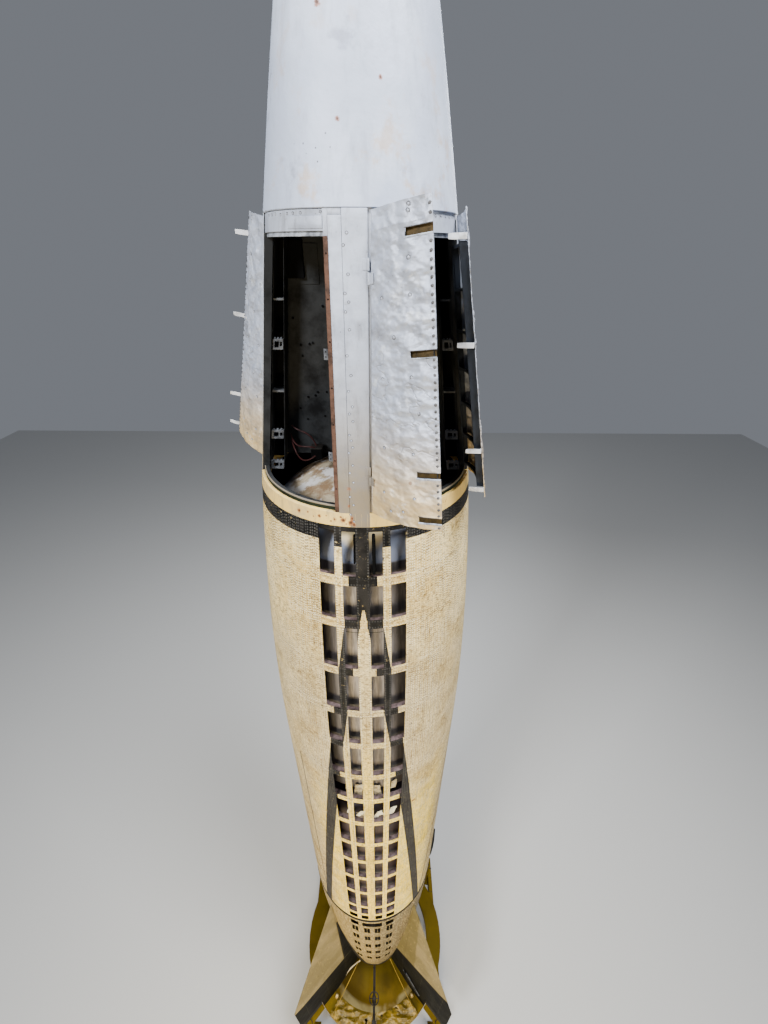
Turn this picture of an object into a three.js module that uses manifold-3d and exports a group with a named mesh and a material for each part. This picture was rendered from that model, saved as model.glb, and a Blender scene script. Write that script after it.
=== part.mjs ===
// A tall liquid-fuelled rocket of the 1940s on its low launching table, as a cut-open museum piece.
// Millimetres, +Z up. The origin is on the floor, in the middle under the table, and -Y is the cut-open front.
import * as THREE from "three";
import { mergeVertices } from "three/addons/utils/BufferGeometryUtils.js";
import { ConvexGeometry } from "three/addons/geometries/ConvexGeometry.js";
import Module from "manifold-3d";

const wasm = await Module();
wasm.setup();

// Driving dimensions. Heights of the rocket's stations are above its fin feet.
const tableHeight = 1000; // floor to fin feet
const rocketLength = 14036;
const noseJoint = 12026; // warhead on control bay
const bayJoint = 10616; // control bay on tank section
const tailJoint = 4401; // tank section on tail
const tailEnd = 450;
const bodyRadius = 825.5;
const tailEndRadius = 530;
const tailCurve = 1.6; // exponent of the boat tail's taper
const ogiveLength = 5850; // nose tip to full width
const skin = 24; // shell wall, skin with its stringers
const touch = 0.4; // gap between pieces that rest on each other
const wide = 1000; // a radius that is outside everything round
const roundSides = 48;

// Cut-open front: heights of the frames between the window rows, and the columns' angles from the front.
const windowTop = 10588;
const windowBottom = 4480;
const windowFrames = [
  10260, 9935, 9510, 9075, 8670, 8200, 7780, 7325, 6845, 6400, 5920, 5450, 4945, 4655,
];
const frameBar = 68; // height of the skin bar left at a frame
const frameWeb = 32; // how far a frame's web reaches in from the shell
const windowColumns = [[-20.6, -13.05], [-9.4, -3.1], [3.1, 9.4], [13.05, 20.6]];

// Control bay: strips between the four doorways, and the two leaves of a doorway.
const stripStart = -140; // edges of a strip, along its own local X
const stripEnd = 45;
const bayWall = 30;
const bayRecess = 16; // the doorway's edges lie this far under the skin, so that the leaves cover them
const doorwaySill = 10697; // full-width ring under the leaves
const doorwayBottom = 10728;
const doorwayTop = 11930;
const leafSplit = 41.3; // degrees from the strip's middle to the edge where two leaves meet
const leafGap = 6;
const leafSkin = 10;
const leafDepth = 44;
const leafTop = 12018;
const leafBottom = 10704;
const hingeOffset = 10; // hinge line outside the skin
const stripTurns = [0, 90, 180, 190, 280]; // the back strip is two that overlap
const doorwayTurns = { front_right: 0, back_right: 90, back_left: 190 };
const openAngles = { door_front_right_a: 60, door_front_right_b: 33, door_back_left_b: 60 };

// Latches: hooks on the B leaves that go into slots in the A leaves. They hang bent inwards or outwards.
const latchHeights = [11914, 11480, 10965, 10748]; // the lowest hook passes over the doorway's lower ring
const slotLength = 115;
const slotHalf = 17;
const hookLength = 84;
const hookHalf = 12;
const hookBends = { door_front_right_b: 84, door_back_right_b: 8, door_back_left_b: -54 };

// Tail: fins, their small rudders and the vanes in the jet.
const finAngles = { front_right: 45, back_right: 135, back_left: 225, front_left: 315 };
const finSpan = 1782; // axis to fin tip
const finLeadTop = 4080; // leading edge at the body
const finTipTop = 1520;
const footStart = 980;
const footEnd = 1335;
const rudderNotch = 560; // height of the fin's cut-out over the rudder
const rudderAxis = 440;
const vaneAxis = 310;
const shaftRadius = 13;
const shaftHole = 17;
const nozzleExit = 370;

// Launching table.
const ringInner = 1060;
const ringOuter = 1340;
const ringBottom = 860;
const ringTop = 960;
const postReach = 1660; // axis to a corner post
const postRadius = 70;
const footPlate = 260;
const footThick = 40;
const beamSize = 85;
const beamTop = 200;
const beamReach = 1500;

const paint = (color, roughness, metalness) =>
  new THREE.MeshStandardMaterial({ color, roughness, metalness, flatShading: true });
const greyPaint = paint(0xc4c6ca, 0.55, 0.15);
const creamPaint = paint(0xd8ceb0, 0.6, 0.1);
const darkPaint = paint(0x3c3c3b, 0.65, 0.1);
const tankMetal = paint(0x7c7a78, 0.4, 0.7);
const steel = paint(0x55504a, 0.5, 0.6);
const plywood = paint(0x3a3c3d, 0.8, 0);
const graphite = paint(0x2c2c2e, 0.7, 0.1);
const yellowPaint = paint(0x9c7c14, 0.4, 0.3);

const radians = THREE.MathUtils.degToRad;
const rocket = new THREE.Group();
rocket.position.z = tableHeight;
const table = new THREE.Group();

// A closed three.js geometry as a solid that can be cut and joined.
function solidOf(geometry) {
  const bare = new THREE.BufferGeometry();
  bare.setAttribute("position", geometry.getAttribute("position").clone());
  if (geometry.index) bare.setIndex(geometry.index.clone());
  const merged = mergeVertices(bare, 1e-3);
  return new wasm.Manifold(
    new wasm.Mesh({
      numProp: 3,
      vertProperties: merged.getAttribute("position").array,
      triVerts: new Uint32Array(merged.index.array),
    }),
  );
}

function geometryOf(solid) {
  const { vertProperties, triVerts } = solid.getMesh();
  const geometry = new THREE.BufferGeometry();
  geometry.setAttribute("position", new THREE.Float32BufferAttribute(vertProperties, 3));
  geometry.setIndex([...triVerts]);
  const flat = geometry.toNonIndexed();
  flat.computeVertexNormals();
  return flat;
}

function addPiece(group, name, shape, material) {
  const geometry = shape.isBufferGeometry ? shape : geometryOf(shape);
  const mesh = new THREE.Mesh(geometry, material);
  mesh.name = name;
  group.add(mesh);
  return mesh;
}

const joined = (solids) => solids.reduce((all, next) => all.add(next));

// Revolved body: the profile is a list of [radius, height], closed on the axis or on itself.
function revolved(profile, sides = roundSides) {
  const points = profile.map(([r, z]) => new THREE.Vector2(r, z));
  return new THREE.LatheGeometry(points, sides).rotateX(Math.PI / 2);
}

function tube(outer, inner, low, high, sides = roundSides) {
  return solidOf(revolved([[inner, low], [outer, low], [outer, high], [inner, high], [inner, low]], sides));
}

function prism(points, low, high) {
  const outline = new THREE.Shape(points.map(([x, y]) => new THREE.Vector2(x, y)));
  const geometry = new THREE.ExtrudeGeometry(outline, { depth: high - low, bevelEnabled: false });
  return solidOf(geometry.translate(0, 0, low));
}

function box(lowX, highX, lowY, highY, lowZ, highZ) {
  const geometry = new THREE.BoxGeometry(highX - lowX, highY - lowY, highZ - lowZ);
  geometry.translate((lowX + highX) / 2, (lowY + highY) / 2, (lowZ + highZ) / 2);
  return solidOf(geometry);
}

function uprightRod(radius, x, y, low, high, sides = 12) {
  const geometry = new THREE.CylinderGeometry(radius, radius, high - low, sides);
  return solidOf(geometry.rotateX(Math.PI / 2).translate(x, y, (low + high) / 2));
}

// A rod that points to the front, from one distance from the axis to another.
function forwardRod(radius, from, to, height, sides = 12) {
  const geometry = new THREE.CylinderGeometry(radius, radius, to - from, sides);
  return solidOf(geometry.translate(0, -(from + to) / 2, height));
}

const hullOf = (points) =>
  solidOf(new ConvexGeometry(points.map(([x, reach, z]) => new THREE.Vector3(x, -reach, z))));

const turned = (solid, degrees) => solid.rotate([0, 0, degrees]);

// Points in plan: the angle runs from the front towards the right.
const planPoint = (degrees, r) => [r * Math.sin(radians(degrees)), -r * Math.cos(radians(degrees))];

// Skin radius of the body at a height over the fin feet.
function bodyOutline(z) {
  const fromTip = rocketLength - z;
  if (fromTip < ogiveLength) {
    const sweep = (bodyRadius ** 2 + ogiveLength ** 2) / (2 * bodyRadius);
    return Math.sqrt(sweep ** 2 - (ogiveLength - fromTip) ** 2) + bodyRadius - sweep;
  }
  if (z > tailJoint) return bodyRadius;
  const down = (tailJoint - z) / (tailJoint - tailEnd);
  return bodyRadius - (bodyRadius - tailEndRadius) * down ** tailCurve;
}

// The bay is a plain cone between its two joints, so that its hinges are straight.
const bayTopRadius = bodyOutline(noseJoint);
const bayBottomRadius = bodyOutline(bayJoint);
const baySlope = (bayTopRadius - bayBottomRadius) / (noseJoint - bayJoint);
const bayOutline = (z) => bayBottomRadius + baySlope * (z - bayJoint);

function evenHeights(low, high, steps) {
  return Array.from({ length: steps + 1 }, (_, i) => low + ((high - low) * i) / steps);
}

// A revolved shell that follows an outline, from one depth under it to another.
function shell(outline, outerDepth, innerDepth, heights) {
  const outer = heights.map((z) => [outline(z) - outerDepth, z]);
  const inner = heights.map((z) => [outline(z) - innerDepth, z]).reverse();
  return solidOf(revolved([...outer, ...inner, outer[0]]));
}

// Warhead: a plain ogive with a small fuze on its tip.
function buildNose() {
  const fuzeHeight = 90;
  const noseTop = rocketLength - fuzeHeight;
  const low = noseJoint + touch;
  const side = evenHeights(low, noseTop, 5).map((z) => [bodyOutline(z), z]);
  addPiece(rocket, "warhead_nose", revolved([[0, low], ...side, [0, noseTop]]), greyPaint);
  const fuzeRadius = bodyOutline(noseTop) * 0.9;
  const fuze = [[0, 0], [fuzeRadius, 0], [fuzeRadius * 0.8, 40], [fuzeRadius * 0.4, 78], [0, fuzeHeight]];
  const placed = fuze.map(([r, z]) => [r, noseTop + touch + z - (z ? touch : 0)]);
  addPiece(rocket, "nose_fuze", revolved(placed, 16), steel);
}

// Doorway shapes in plan, in the bay that runs from the front strip to the right one.
function leafPlan(kind, inset) {
  const split = radians(leafSplit);
  const away = (kind === "a" ? -1 : 1) * inset;
  const shift = [away * Math.cos(split), away * Math.sin(split)];
  const onSplit = (r) => {
    const [x, y] = planPoint(leafSplit, r);
    return [x + shift[0], y + shift[1]];
  };
  if (kind === "a") {
    const edge = stripEnd + leafGap + inset - leafGap / 2;
    return [[edge, -120], [edge, -wide], onSplit(wide), onSplit(200)];
  }
  const edge = stripStart - leafGap - inset + leafGap / 2;
  return [onSplit(260), onSplit(wide), [wide, edge], [260, edge]];
}

// The hinge line of a leaf at the bay's lower joint, and its direction, turned so that a positive angle opens.
function hingeLine(kind) {
  const across = kind === "a" ? stripEnd + leafGap / 2 : stripStart - leafGap / 2;
  const reach = (r) => Math.sqrt(r ** 2 - across ** 2);
  const low = reach(bayBottomRadius) + hingeOffset;
  const lean = (reach(bayBottomRadius) - reach(bayTopRadius)) / (noseJoint - bayJoint);
  if (kind === "a") {
    return {
      point: new THREE.Vector3(across, -low, bayJoint),
      axis: new THREE.Vector3(0, -lean, -1).normalize(),
    };
  }
  return {
    point: new THREE.Vector3(low, across, bayJoint),
    axis: new THREE.Vector3(-lean, 0, 1).normalize(),
  };
}

// A knuckle on a hinge line, with the tab that carries it on one side.
const knuckleRadius = 4.5;
const knuckleHeights = [10880, 11780];
const knuckleLength = 46;
function knuckle(kind, height, side) {
  const { point, axis } = hingeLine(kind);
  const up = axis.clone().multiplyScalar(Math.sign(axis.z));
  const centre = point.clone().addScaledVector(up, (height - bayJoint) / up.z);
  const barrel = new THREE.CylinderGeometry(knuckleRadius, knuckleRadius, knuckleLength, 6);
  barrel.applyQuaternion(new THREE.Quaternion().setFromUnitVectors(new THREE.Vector3(0, 1, 0), up));
  const depth = hingeOffset + 14;
  const tab = new THREE.BoxGeometry(26, depth, knuckleLength);
  tab.translate(side * 13 + side * 3.2, depth / 2 - 2, 0);
  const tilt = Math.asin(kind === "a" ? -up.y : up.x);
  tab.rotateX(kind === "a" ? tilt : 0);
  if (kind === "b") tab.rotateX(-Math.abs(tilt)).rotateZ(Math.PI / 2);
  return solidOf(barrel.translate(...centre.toArray())).add(solidOf(tab.translate(...centre.toArray())));
}

// A latch hook at a B leaf's free edge, which is at X 0 here, and the plate that holds it.
function hookSolid(z, bend) {
  const r = bayOutline(z);
  const hook = box(-hookLength, 4, -4, 4, z - hookHalf, z + hookHalf).rotate([0, 0, -bend]);
  const plate = box(0, 60, -4, 6, z - hookHalf, z + hookHalf);
  return hook.add(plate).translate([0, -r + 4, 0]);
}

// One door leaf, closed, in the first bay: skin, ribbed frame inside, and its slots or latch hooks.
function leafSolid(kind, bend) {
  const low = leafBottom;
  const heights = [low, leafTop];
  const leaf = shell(bayOutline, 0, leafSkin, heights).intersect(prism(leafPlan(kind, leafGap / 2), low - 9, leafTop + 9));
  const ribLow = doorwayBottom + 30;
  const ribHigh = doorwayTop - 30;
  const rib = 14;
  const ribs = 3;
  const frame = shell(bayOutline, leafSkin - 2, leafDepth, [ribLow, ribHigh]).intersect(
    prism(leafPlan(kind, leafGap), ribLow - 9, ribHigh + 9),
  );
  const bay = (ribHigh - ribLow - rib) / ribs;
  const pockets = Array.from({ length: ribs }, (_, i) =>
    shell(bayOutline, leafSkin, leafDepth + 20, [ribLow + rib + i * bay, ribLow + (i + 1) * bay]),
  );
  const ribbed = frame.subtract(joined(pockets).intersect(prism(leafPlan(kind, leafGap + rib), ribLow, ribHigh)));
  let made = leaf.add(ribbed);
  for (const z of latchHeights) {
    const r = bayOutline(z);
    if (kind === "a") {
      const slot = box(-slotLength, 20, -r - 60, -r + 110, z - slotHalf, z + slotHalf);
      made = made.subtract(turned(slot, leafSplit));
    } else {
      made = made.add(turned(hookSolid(z, bend), leafSplit));
    }
  }
  for (const z of knuckleHeights) made = made.add(knuckle(kind, z, kind === "a" ? 1 : -1));
  return made;
}

// Control bay: end rings, four strips and a cross of plywood walls.
function buildBay() {
  const low = bayJoint + touch;
  const high = noseJoint - touch;
  const ring = (from, to) => shell(bayOutline, bayRecess, bayRecess + bayWall, [from, to]);
  const cone = shell(bayOutline, 0, bayRecess + bayWall, [low, high]);
  const sill = shell(bayOutline, 0, bayRecess + bayWall, [low, doorwaySill]);
  const stripPlan = [[stripStart, -200], [stripEnd, -200], [stripEnd, -wide], [stripStart, -wide]];
  const strips = stripTurns.map((at) => cone.intersect(turned(prism(stripPlan, low - 9, high + 9), at)));
  const knuckles = Object.values(doorwayTurns).flatMap((at) =>
    knuckleHeights.flatMap((z) => [
      turned(knuckle("a", z + knuckleLength + 6, -1), at),
      turned(knuckle("b", z + knuckleLength + 6, 1), at),
    ]),
  );
  const frame = joined([sill, ring(low, doorwayBottom), ring(doorwayTop, high), ...strips, ...knuckles]);
  addPiece(rocket, "bay_frame", frame, greyPaint);

  const wallHalf = 9;
  const wallLow = doorwayBottom + 20;
  const wallHigh = noseJoint - 4;
  const reach = (z) => bayOutline(z) - bayRecess - bayWall - 3;
  const outline = [[-reach(wallLow), wallLow], [reach(wallLow), wallLow], [reach(wallHigh), wallHigh], [-reach(wallHigh), wallHigh]];
  const plate = prism(outline, -wallHalf, wallHalf).rotate([90, 0, 0]);
  const hatch = box(-325, -233, -wallHalf * 2, wallHalf * 2, 11730, 11905);
  addPiece(rocket, "bay_partition", joined([plate, turned(plate, 90)]).subtract(hatch), plywood);
}

// Each leaf hangs in a group on its hinge line and stands open as in the photograph.
function buildDoors() {
  for (const kind of ["a", "b"]) {
    const { point, axis } = hingeLine(kind);
    for (const [place, turn] of Object.entries(doorwayTurns)) {
      const bay = new THREE.Group();
      bay.rotation.z = radians(turn);
      const hinge = new THREE.Group();
      hinge.position.copy(point);
      const name = `door_${place}_${kind}`;
      hinge.quaternion.setFromAxisAngle(axis, radians(openAngles[name] ?? 0));
      const leaf = addPiece(hinge, name, leafSolid(kind, hookBends[name]), greyPaint);
      leaf.position.copy(point).negate();
      bay.add(hinge);
      rocket.add(bay);
    }
  }
}

// Tank section: two half shells, the front one with its windows and the frames that show in them.
function buildTankSection() {
  const low = tailJoint + 20;
  const high = bayJoint;
  const heights = [low, ...evenHeights(8186, high, 4)];
  const whole = shell(bodyOutline, 0, skin, heights);
  const half = (sign) => box(-wide, wide, sign > 0 ? touch / 2 : -wide, sign > 0 ? wide : -touch / 2, 0, rocketLength);
  const edges = [windowTop + frameBar / 2, ...windowFrames, windowBottom - frameBar / 2];
  const windows = [];
  for (const [from, to] of windowColumns) {
    const plan = [planPoint(from, 600), planPoint(from, wide), planPoint(to, wide), planPoint(to, 600)];
    for (let i = 1; i < edges.length; i++) {
      windows.push(prism(plan, edges[i] + frameBar / 2, edges[i - 1] - frameBar / 2));
    }
  }
  const webArc = [[0, 0], planPoint(-24, wide), planPoint(0, wide), planPoint(24, wide)];
  const webs = windowFrames.map((z) =>
    shell(bodyOutline, skin - 4, skin + frameWeb, [z - 4, z + 4]).intersect(prism(webArc, z - 9, z + 9)),
  );
  const front = whole.intersect(half(-1)).subtract(joined(windows)).add(joined(webs));
  addPiece(rocket, "tank_shell_front", front, creamPaint);
  addPiece(rocket, "tank_shell_back", whole.intersect(half(1)), creamPaint);
  addPiece(rocket, "joint_band", tube(bodyRadius + 4, bodyRadius - skin, tailJoint - 15, low - touch), darkPaint);
}

// The two propellant tanks that show through the windows and in the bay's floor.
function buildTanks() {
  const clear = skin + frameWeb + 12;
  const domeSteps = [0.4, 0.75, 0.93];
  const tank = (low, high, lowDome, highDome, steps) => {
    const side = evenHeights(low + lowDome, high - highDome, steps).map((z) => [bodyOutline(z) - clear, z]);
    const lowRadius = side[0][0];
    const highRadius = side[side.length - 1][0];
    const dome = (radius, share) => radius * Math.sqrt(1 - share ** 2);
    const under = domeSteps.map((s) => [dome(lowRadius, s), low + lowDome * (1 - s)]).reverse();
    const over = domeSteps.map((s) => [dome(highRadius, s), high - highDome * (1 - s)]);
    return revolved([[0, low], ...under, ...side, ...over, [0, high]], 32);
  };
  addPiece(rocket, "alcohol_tank", tank(7640, 10660, 260, 340, 3), tankMetal);
  addPiece(rocket, "oxygen_tank", tank(4560, 7500, 260, 260, 1), tankMetal);
}

const tailHeights = evenHeights(tailEnd + 20, tailJoint - 15 - touch, 6);

// Tail: a boat-tailed shell with slots in front, its end ring and the thrust chamber with an open nozzle.
function buildTail() {
  const low = tailHeights[0];
  const wall = shell(bodyOutline, 0, skin, tailHeights);
  const slotRows = [3930, 3460, 2930, 2360, 1700];
  const slotColumns = [-262, -215, -94, -51, 51, 94, 215, 262];
  const cutters = [[-292, -185], [-134, 134], [185, 292]].map(([from, to]) => box(from, to, -wide, -500, 4170, 4300));
  for (const z of slotRows) {
    for (const x of slotColumns) cutters.push(box(x - 15, x + 15, -wide, -300, z - 105, z + 105));
  }
  addPiece(rocket, "tail_shell", wall.subtract(joined(cutters)), creamPaint);

  const bearing = box(-38, 38, -505, -405, vaneAxis - 50, tailEnd + 1).subtract(
    forwardRod(shaftHole, 380, 462, vaneAxis),
  );
  const ring = tube(tailEndRadius, nozzleExit + 26, tailEnd, low - touch, 24);
  const bearings = Object.values(finAngles).map((at) => turned(bearing, at));
  addPiece(rocket, "tail_end_ring", joined([ring, ...bearings]), steel);

  const chamber = [
    [nozzleExit, low], [nozzleExit + 22, low], [245, 1150], [225, 1300], [300, 1500], [480, 1800],
    [500, 2050], [420, 2280], [0, 2430], [0, 1400], [200, 1300], [222, 1150], [nozzleExit, low],
  ];
  addPiece(rocket, "thrust_chamber", revolved(chamber, 24), steel);
}

// One fin at the front, cut to the body, with a notch for its rudder.
function finSolid() {
  const rise = (finLeadTop - finTipTop) / (bodyRadius - finSpan);
  const rootReach = 450;
  const rootTop = finLeadTop + rise * (rootReach - bodyRadius);
  // half thickness, distance from the axis, height
  const corners = [
    [6, rootReach, rootTop], [98, rootReach, 1700], [64, rootReach, 0],
    [4, finSpan, finTipTop], [26, finSpan, 1000], [20, finSpan, 0],
  ];
  const blank = hullOf(corners.flatMap(([half, reach, z]) => [[half, reach, z], [-half, reach, z]]));
  const side = tailHeights.map((z) => [bodyOutline(z) + touch, z]);
  const bodySpace = [[0, -50], [side[0][0], -50], ...side, [bodyRadius + touch, 5500], [0, 5500]];
  const notch = box(-200, 200, -finSpan - 9, -footEnd, -9, rudderNotch);
  const heel = prism([[-footStart, 0], [-300, 560], [-300, -60], [-footStart, -60]], -200, 200).rotate([90, 0, 90]);
  return blank
    .subtract(solidOf(revolved(bodySpace)))
    .subtract(notch)
    .subtract(heel)
    .subtract(forwardRod(shaftHole, footEnd - 45, footEnd + 9, rudderAxis));
}

function rudderSolid() {
  const start = footEnd + 16;
  // half thickness, distance from the axis, height
  const corners = [
    [9, start, rudderNotch - 16], [24, start, rudderAxis + 10], [5, start, 130],
    [7, finSpan, rudderNotch - 22], [16, finSpan, rudderAxis + 10], [4, finSpan, 210],
  ];
  const blade = hullOf(corners.flatMap(([half, reach, z]) => [[half, reach, z], [-half, reach, z]]));
  return blade.add(forwardRod(shaftRadius, footEnd - 40, start + 30, rudderAxis));
}

function vaneSolid() {
  // half thickness, distance from the axis, height
  const corners = [
    [4, 130, 410], [12, 130, vaneAxis], [3, 130, 150],
    [4, 355, 425], [13, 355, vaneAxis], [3, 355, 120],
  ];
  const blade = hullOf(corners.flatMap(([half, reach, z]) => [[half, reach, z], [-half, reach, z]]));
  return blade.add(forwardRod(shaftRadius, 340, 455, vaneAxis));
}

function buildFins() {
  const pieces = [["fin", finSolid(), creamPaint], ["rudder", rudderSolid(), darkPaint], ["jet_vane", vaneSolid(), graphite]];
  for (const [kind, solid, material] of pieces) {
    const shape = geometryOf(solid);
    for (const [place, at] of Object.entries(finAngles)) {
      addPiece(rocket, `${kind}_${place}`, shape.clone(), material).rotation.z = radians(at);
    }
  }
}

// Launching table: ring with pads, blast deflector, corner posts with arms, base beams, filling pipe and its wheel.
function buildTable() {
  const pad = box(-62, 62, -footEnd + 5, -footStart - 85, ringTop - 1, tableHeight - touch);
  const pads = Object.values(finAngles).map((at) => turned(pad, at));
  addPiece(table, "table_ring", joined([tube(ringOuter, ringInner, ringBottom, ringTop), ...pads]), yellowPaint);

  const deflector = [
    [0, 0], [420, 0], [430, 170], [720, 330], [1015, 345], [1040, 362], [1015, 382],
    [690, 405], [370, 510], [120, 680], [0, 720],
  ];
  addPiece(table, "blast_deflector", revolved(deflector, 32), yellowPaint);

  const plateHalf = footPlate / 2;
  const at45 = postReach * Math.SQRT1_2;
  const post = joined([
    uprightRod(postRadius, 0, -postReach, footThick - 1, 905, 16),
    uprightRod(postRadius * 0.62, 0, -postReach, 900, 968, 12),
    box(-45, 45, -postReach, -ringOuter - 6, 880, 940),
  ]);
  for (const [place, at] of Object.entries(finAngles)) {
    const x = at45 * Math.sign(Math.sin(radians(at)));
    const y = -at45 * Math.sign(Math.cos(radians(at)));
    const plate = box(x - plateHalf, x + plateHalf, y - plateHalf, y + plateHalf, 0, footThick);
    addPiece(table, `table_post_${place}`, turned(post, at).add(plate), yellowPaint);
  }

  const near = at45 + postRadius + 2;
  const far = near + beamSize;
  const low = footThick + touch;
  for (const [side, name] of [[-1, "left"], [1, "right"]]) {
    const [from, to] = side < 0 ? [-far, -near] : [near, far];
    addPiece(table, `side_beam_${name}`, box(from, to, -beamReach, beamReach, low, beamTop), yellowPaint);
  }
  for (const [side, name] of [[-1, "front"], [1, "back"]]) {
    const [from, to] = side < 0 ? [-far, -near] : [near, far];
    addPiece(table, `cross_beam_${name}`, box(-near + touch, near - touch, from, to, low, beamTop), yellowPaint);
  }

  const pipeHeight = 1030;
  const pipeRadius = 22;
  const riser = 470;
  const wheelReach = 900;
  const wheelHeight = 1140;
  const pipe = joined([
    forwardRod(pipeRadius, riser, beamReach - 30, pipeHeight, 10),
    uprightRod(pipeRadius, 0, -riser, pipeHeight - pipeRadius, tableHeight + tailEnd - touch, 10),
    forwardRod(pipeRadius + 12, wheelReach - 50, wheelReach + 50, pipeHeight, 10),
    uprightRod(12, 0, -wheelReach, pipeHeight, wheelHeight - 14 - touch, 8),
    box(-40, 40, -1230, -1150, ringTop + touch, pipeHeight + 34),
  ]);
  addPiece(table, "filling_pipe", pipe, steel);

  const rim = new THREE.TorusGeometry(85, 9, 6, 16).translate(0, -wheelReach, wheelHeight);
  const spokes = [0, 90].map((at) => turned(box(-82, 82, -6, 6, -5, 5), at).translate([0, -wheelReach, wheelHeight]));
  const hub = uprightRod(20, 0, -wheelReach, wheelHeight - 14, wheelHeight + 12, 10);
  addPiece(table, "pipe_handwheel", joined([solidOf(rim), ...spokes, hub]), steel);
}

buildNose();
buildBay();
buildDoors();
buildTankSection();
buildTanks();
buildTail();
buildFins();
buildTable();

const launchReadyRocket = new THREE.Group();
launchReadyRocket.add(rocket, table);
export default launchReadyRocket;
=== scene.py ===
import math
import random
import bpy
from mathutils import Matrix, Vector, noise


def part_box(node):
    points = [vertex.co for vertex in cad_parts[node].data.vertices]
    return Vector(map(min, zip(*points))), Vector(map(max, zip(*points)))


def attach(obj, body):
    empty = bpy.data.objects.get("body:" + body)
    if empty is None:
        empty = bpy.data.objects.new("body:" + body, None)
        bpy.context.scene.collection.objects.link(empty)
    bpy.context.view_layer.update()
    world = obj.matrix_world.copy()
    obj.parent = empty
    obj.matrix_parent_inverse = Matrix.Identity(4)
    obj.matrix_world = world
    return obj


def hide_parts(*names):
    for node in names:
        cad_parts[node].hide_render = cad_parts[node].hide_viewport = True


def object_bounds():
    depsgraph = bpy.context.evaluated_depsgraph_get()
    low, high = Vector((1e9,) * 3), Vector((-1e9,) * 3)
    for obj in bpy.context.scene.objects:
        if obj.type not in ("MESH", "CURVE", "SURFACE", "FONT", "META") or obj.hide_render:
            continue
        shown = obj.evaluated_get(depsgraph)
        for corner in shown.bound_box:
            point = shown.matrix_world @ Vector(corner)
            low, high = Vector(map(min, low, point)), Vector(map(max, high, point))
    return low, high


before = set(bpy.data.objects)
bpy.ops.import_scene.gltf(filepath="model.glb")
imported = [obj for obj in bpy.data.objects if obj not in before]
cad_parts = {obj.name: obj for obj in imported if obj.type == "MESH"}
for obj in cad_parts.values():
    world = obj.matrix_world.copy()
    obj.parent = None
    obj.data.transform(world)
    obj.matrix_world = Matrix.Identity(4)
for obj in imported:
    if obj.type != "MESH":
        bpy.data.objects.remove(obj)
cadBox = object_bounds()
root = "rocket_on_table"
print("frame loaded")

# Stations of the rocket, in metres over the floor, taken from the frame where a node shows them
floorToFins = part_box("fin_front_right")[0][2]
stations = {
    "tip": cadBox[1][2],
    "noseJoint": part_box("warhead_nose")[0][2],
    "bayJoint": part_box("tank_shell_front")[1][2],
    "bodyRadius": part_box("tank_shell_back")[1][0],
    "endRadius": 0.530,
    "taper": 1.6,
    "taperTop": floorToFins + 4.401,
    "taperLength": 3.951,
    "ogive": 5.85,
    "bayTop": floorToFins + 12.026,
    "bayBase": floorToFins + 10.616,
}


def bodyRadiusAt(height):
    fromTip = stations["tip"] - height
    full = stations["bodyRadius"]
    if fromTip < stations["ogive"]:
        sweep = (full**2 + stations["ogive"] ** 2) / (2 * full)
        return math.sqrt(sweep**2 - (stations["ogive"] - fromTip) ** 2) + full - sweep
    down = (stations["taperTop"] - height) / stations["taperLength"]
    if down <= 0:
        return full
    return full - (full - stations["endRadius"]) * min(down, 1) ** stations["taper"]


def aroundPoint(degrees, radius, height):
    angle = math.radians(degrees)
    return Vector((radius * math.sin(angle), -radius * math.cos(angle), height))


bayTop = {"height": stations["noseJoint"], "radius": bodyRadiusAt(stations["bayTop"])}
bayBase = {"height": stations["bayJoint"], "radius": bodyRadiusAt(stations["bayBase"])}


def bayRadiusAt(height):
    rise = (height - bayBase["height"]) / (bayTop["height"] - bayBase["height"])
    return bayBase["radius"] + (bayTop["radius"] - bayBase["radius"]) * rise


# Shader arithmetic: a Value is one socket, and sums of Values add their Math nodes
def maths(kind):
    def method(value, *others):
        return value.bench.node("ShaderNodeMath", {"operation": kind}, dict(enumerate((value, *others))))

    return method


class Value:
    __add__ = __radd__ = maths("ADD")
    __mul__ = __rmul__ = maths("MULTIPLY")
    __sub__ = maths("SUBTRACT")
    __truediv__ = maths("DIVIDE")
    __pow__ = maths("POWER")
    __lt__ = maths("LESS_THAN")
    __gt__ = maths("GREATER_THAN")
    size = maths("ABSOLUTE")
    floor = maths("FLOOR")
    sine = maths("SINE")
    part = maths("FRACT")
    folded = maths("PINGPONG")
    either = maths("MAXIMUM")
    lower = maths("MINIMUM")

    def __init__(self, bench, socket):
        self.bench = bench
        self.socket = socket

    def __rsub__(self, other):
        return self.bench.node("ShaderNodeMath", {"operation": "SUBTRACT"}, {0: other, 1: self})

    def repeat(self, pitch):
        return self.folded(pitch / 2)


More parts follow.
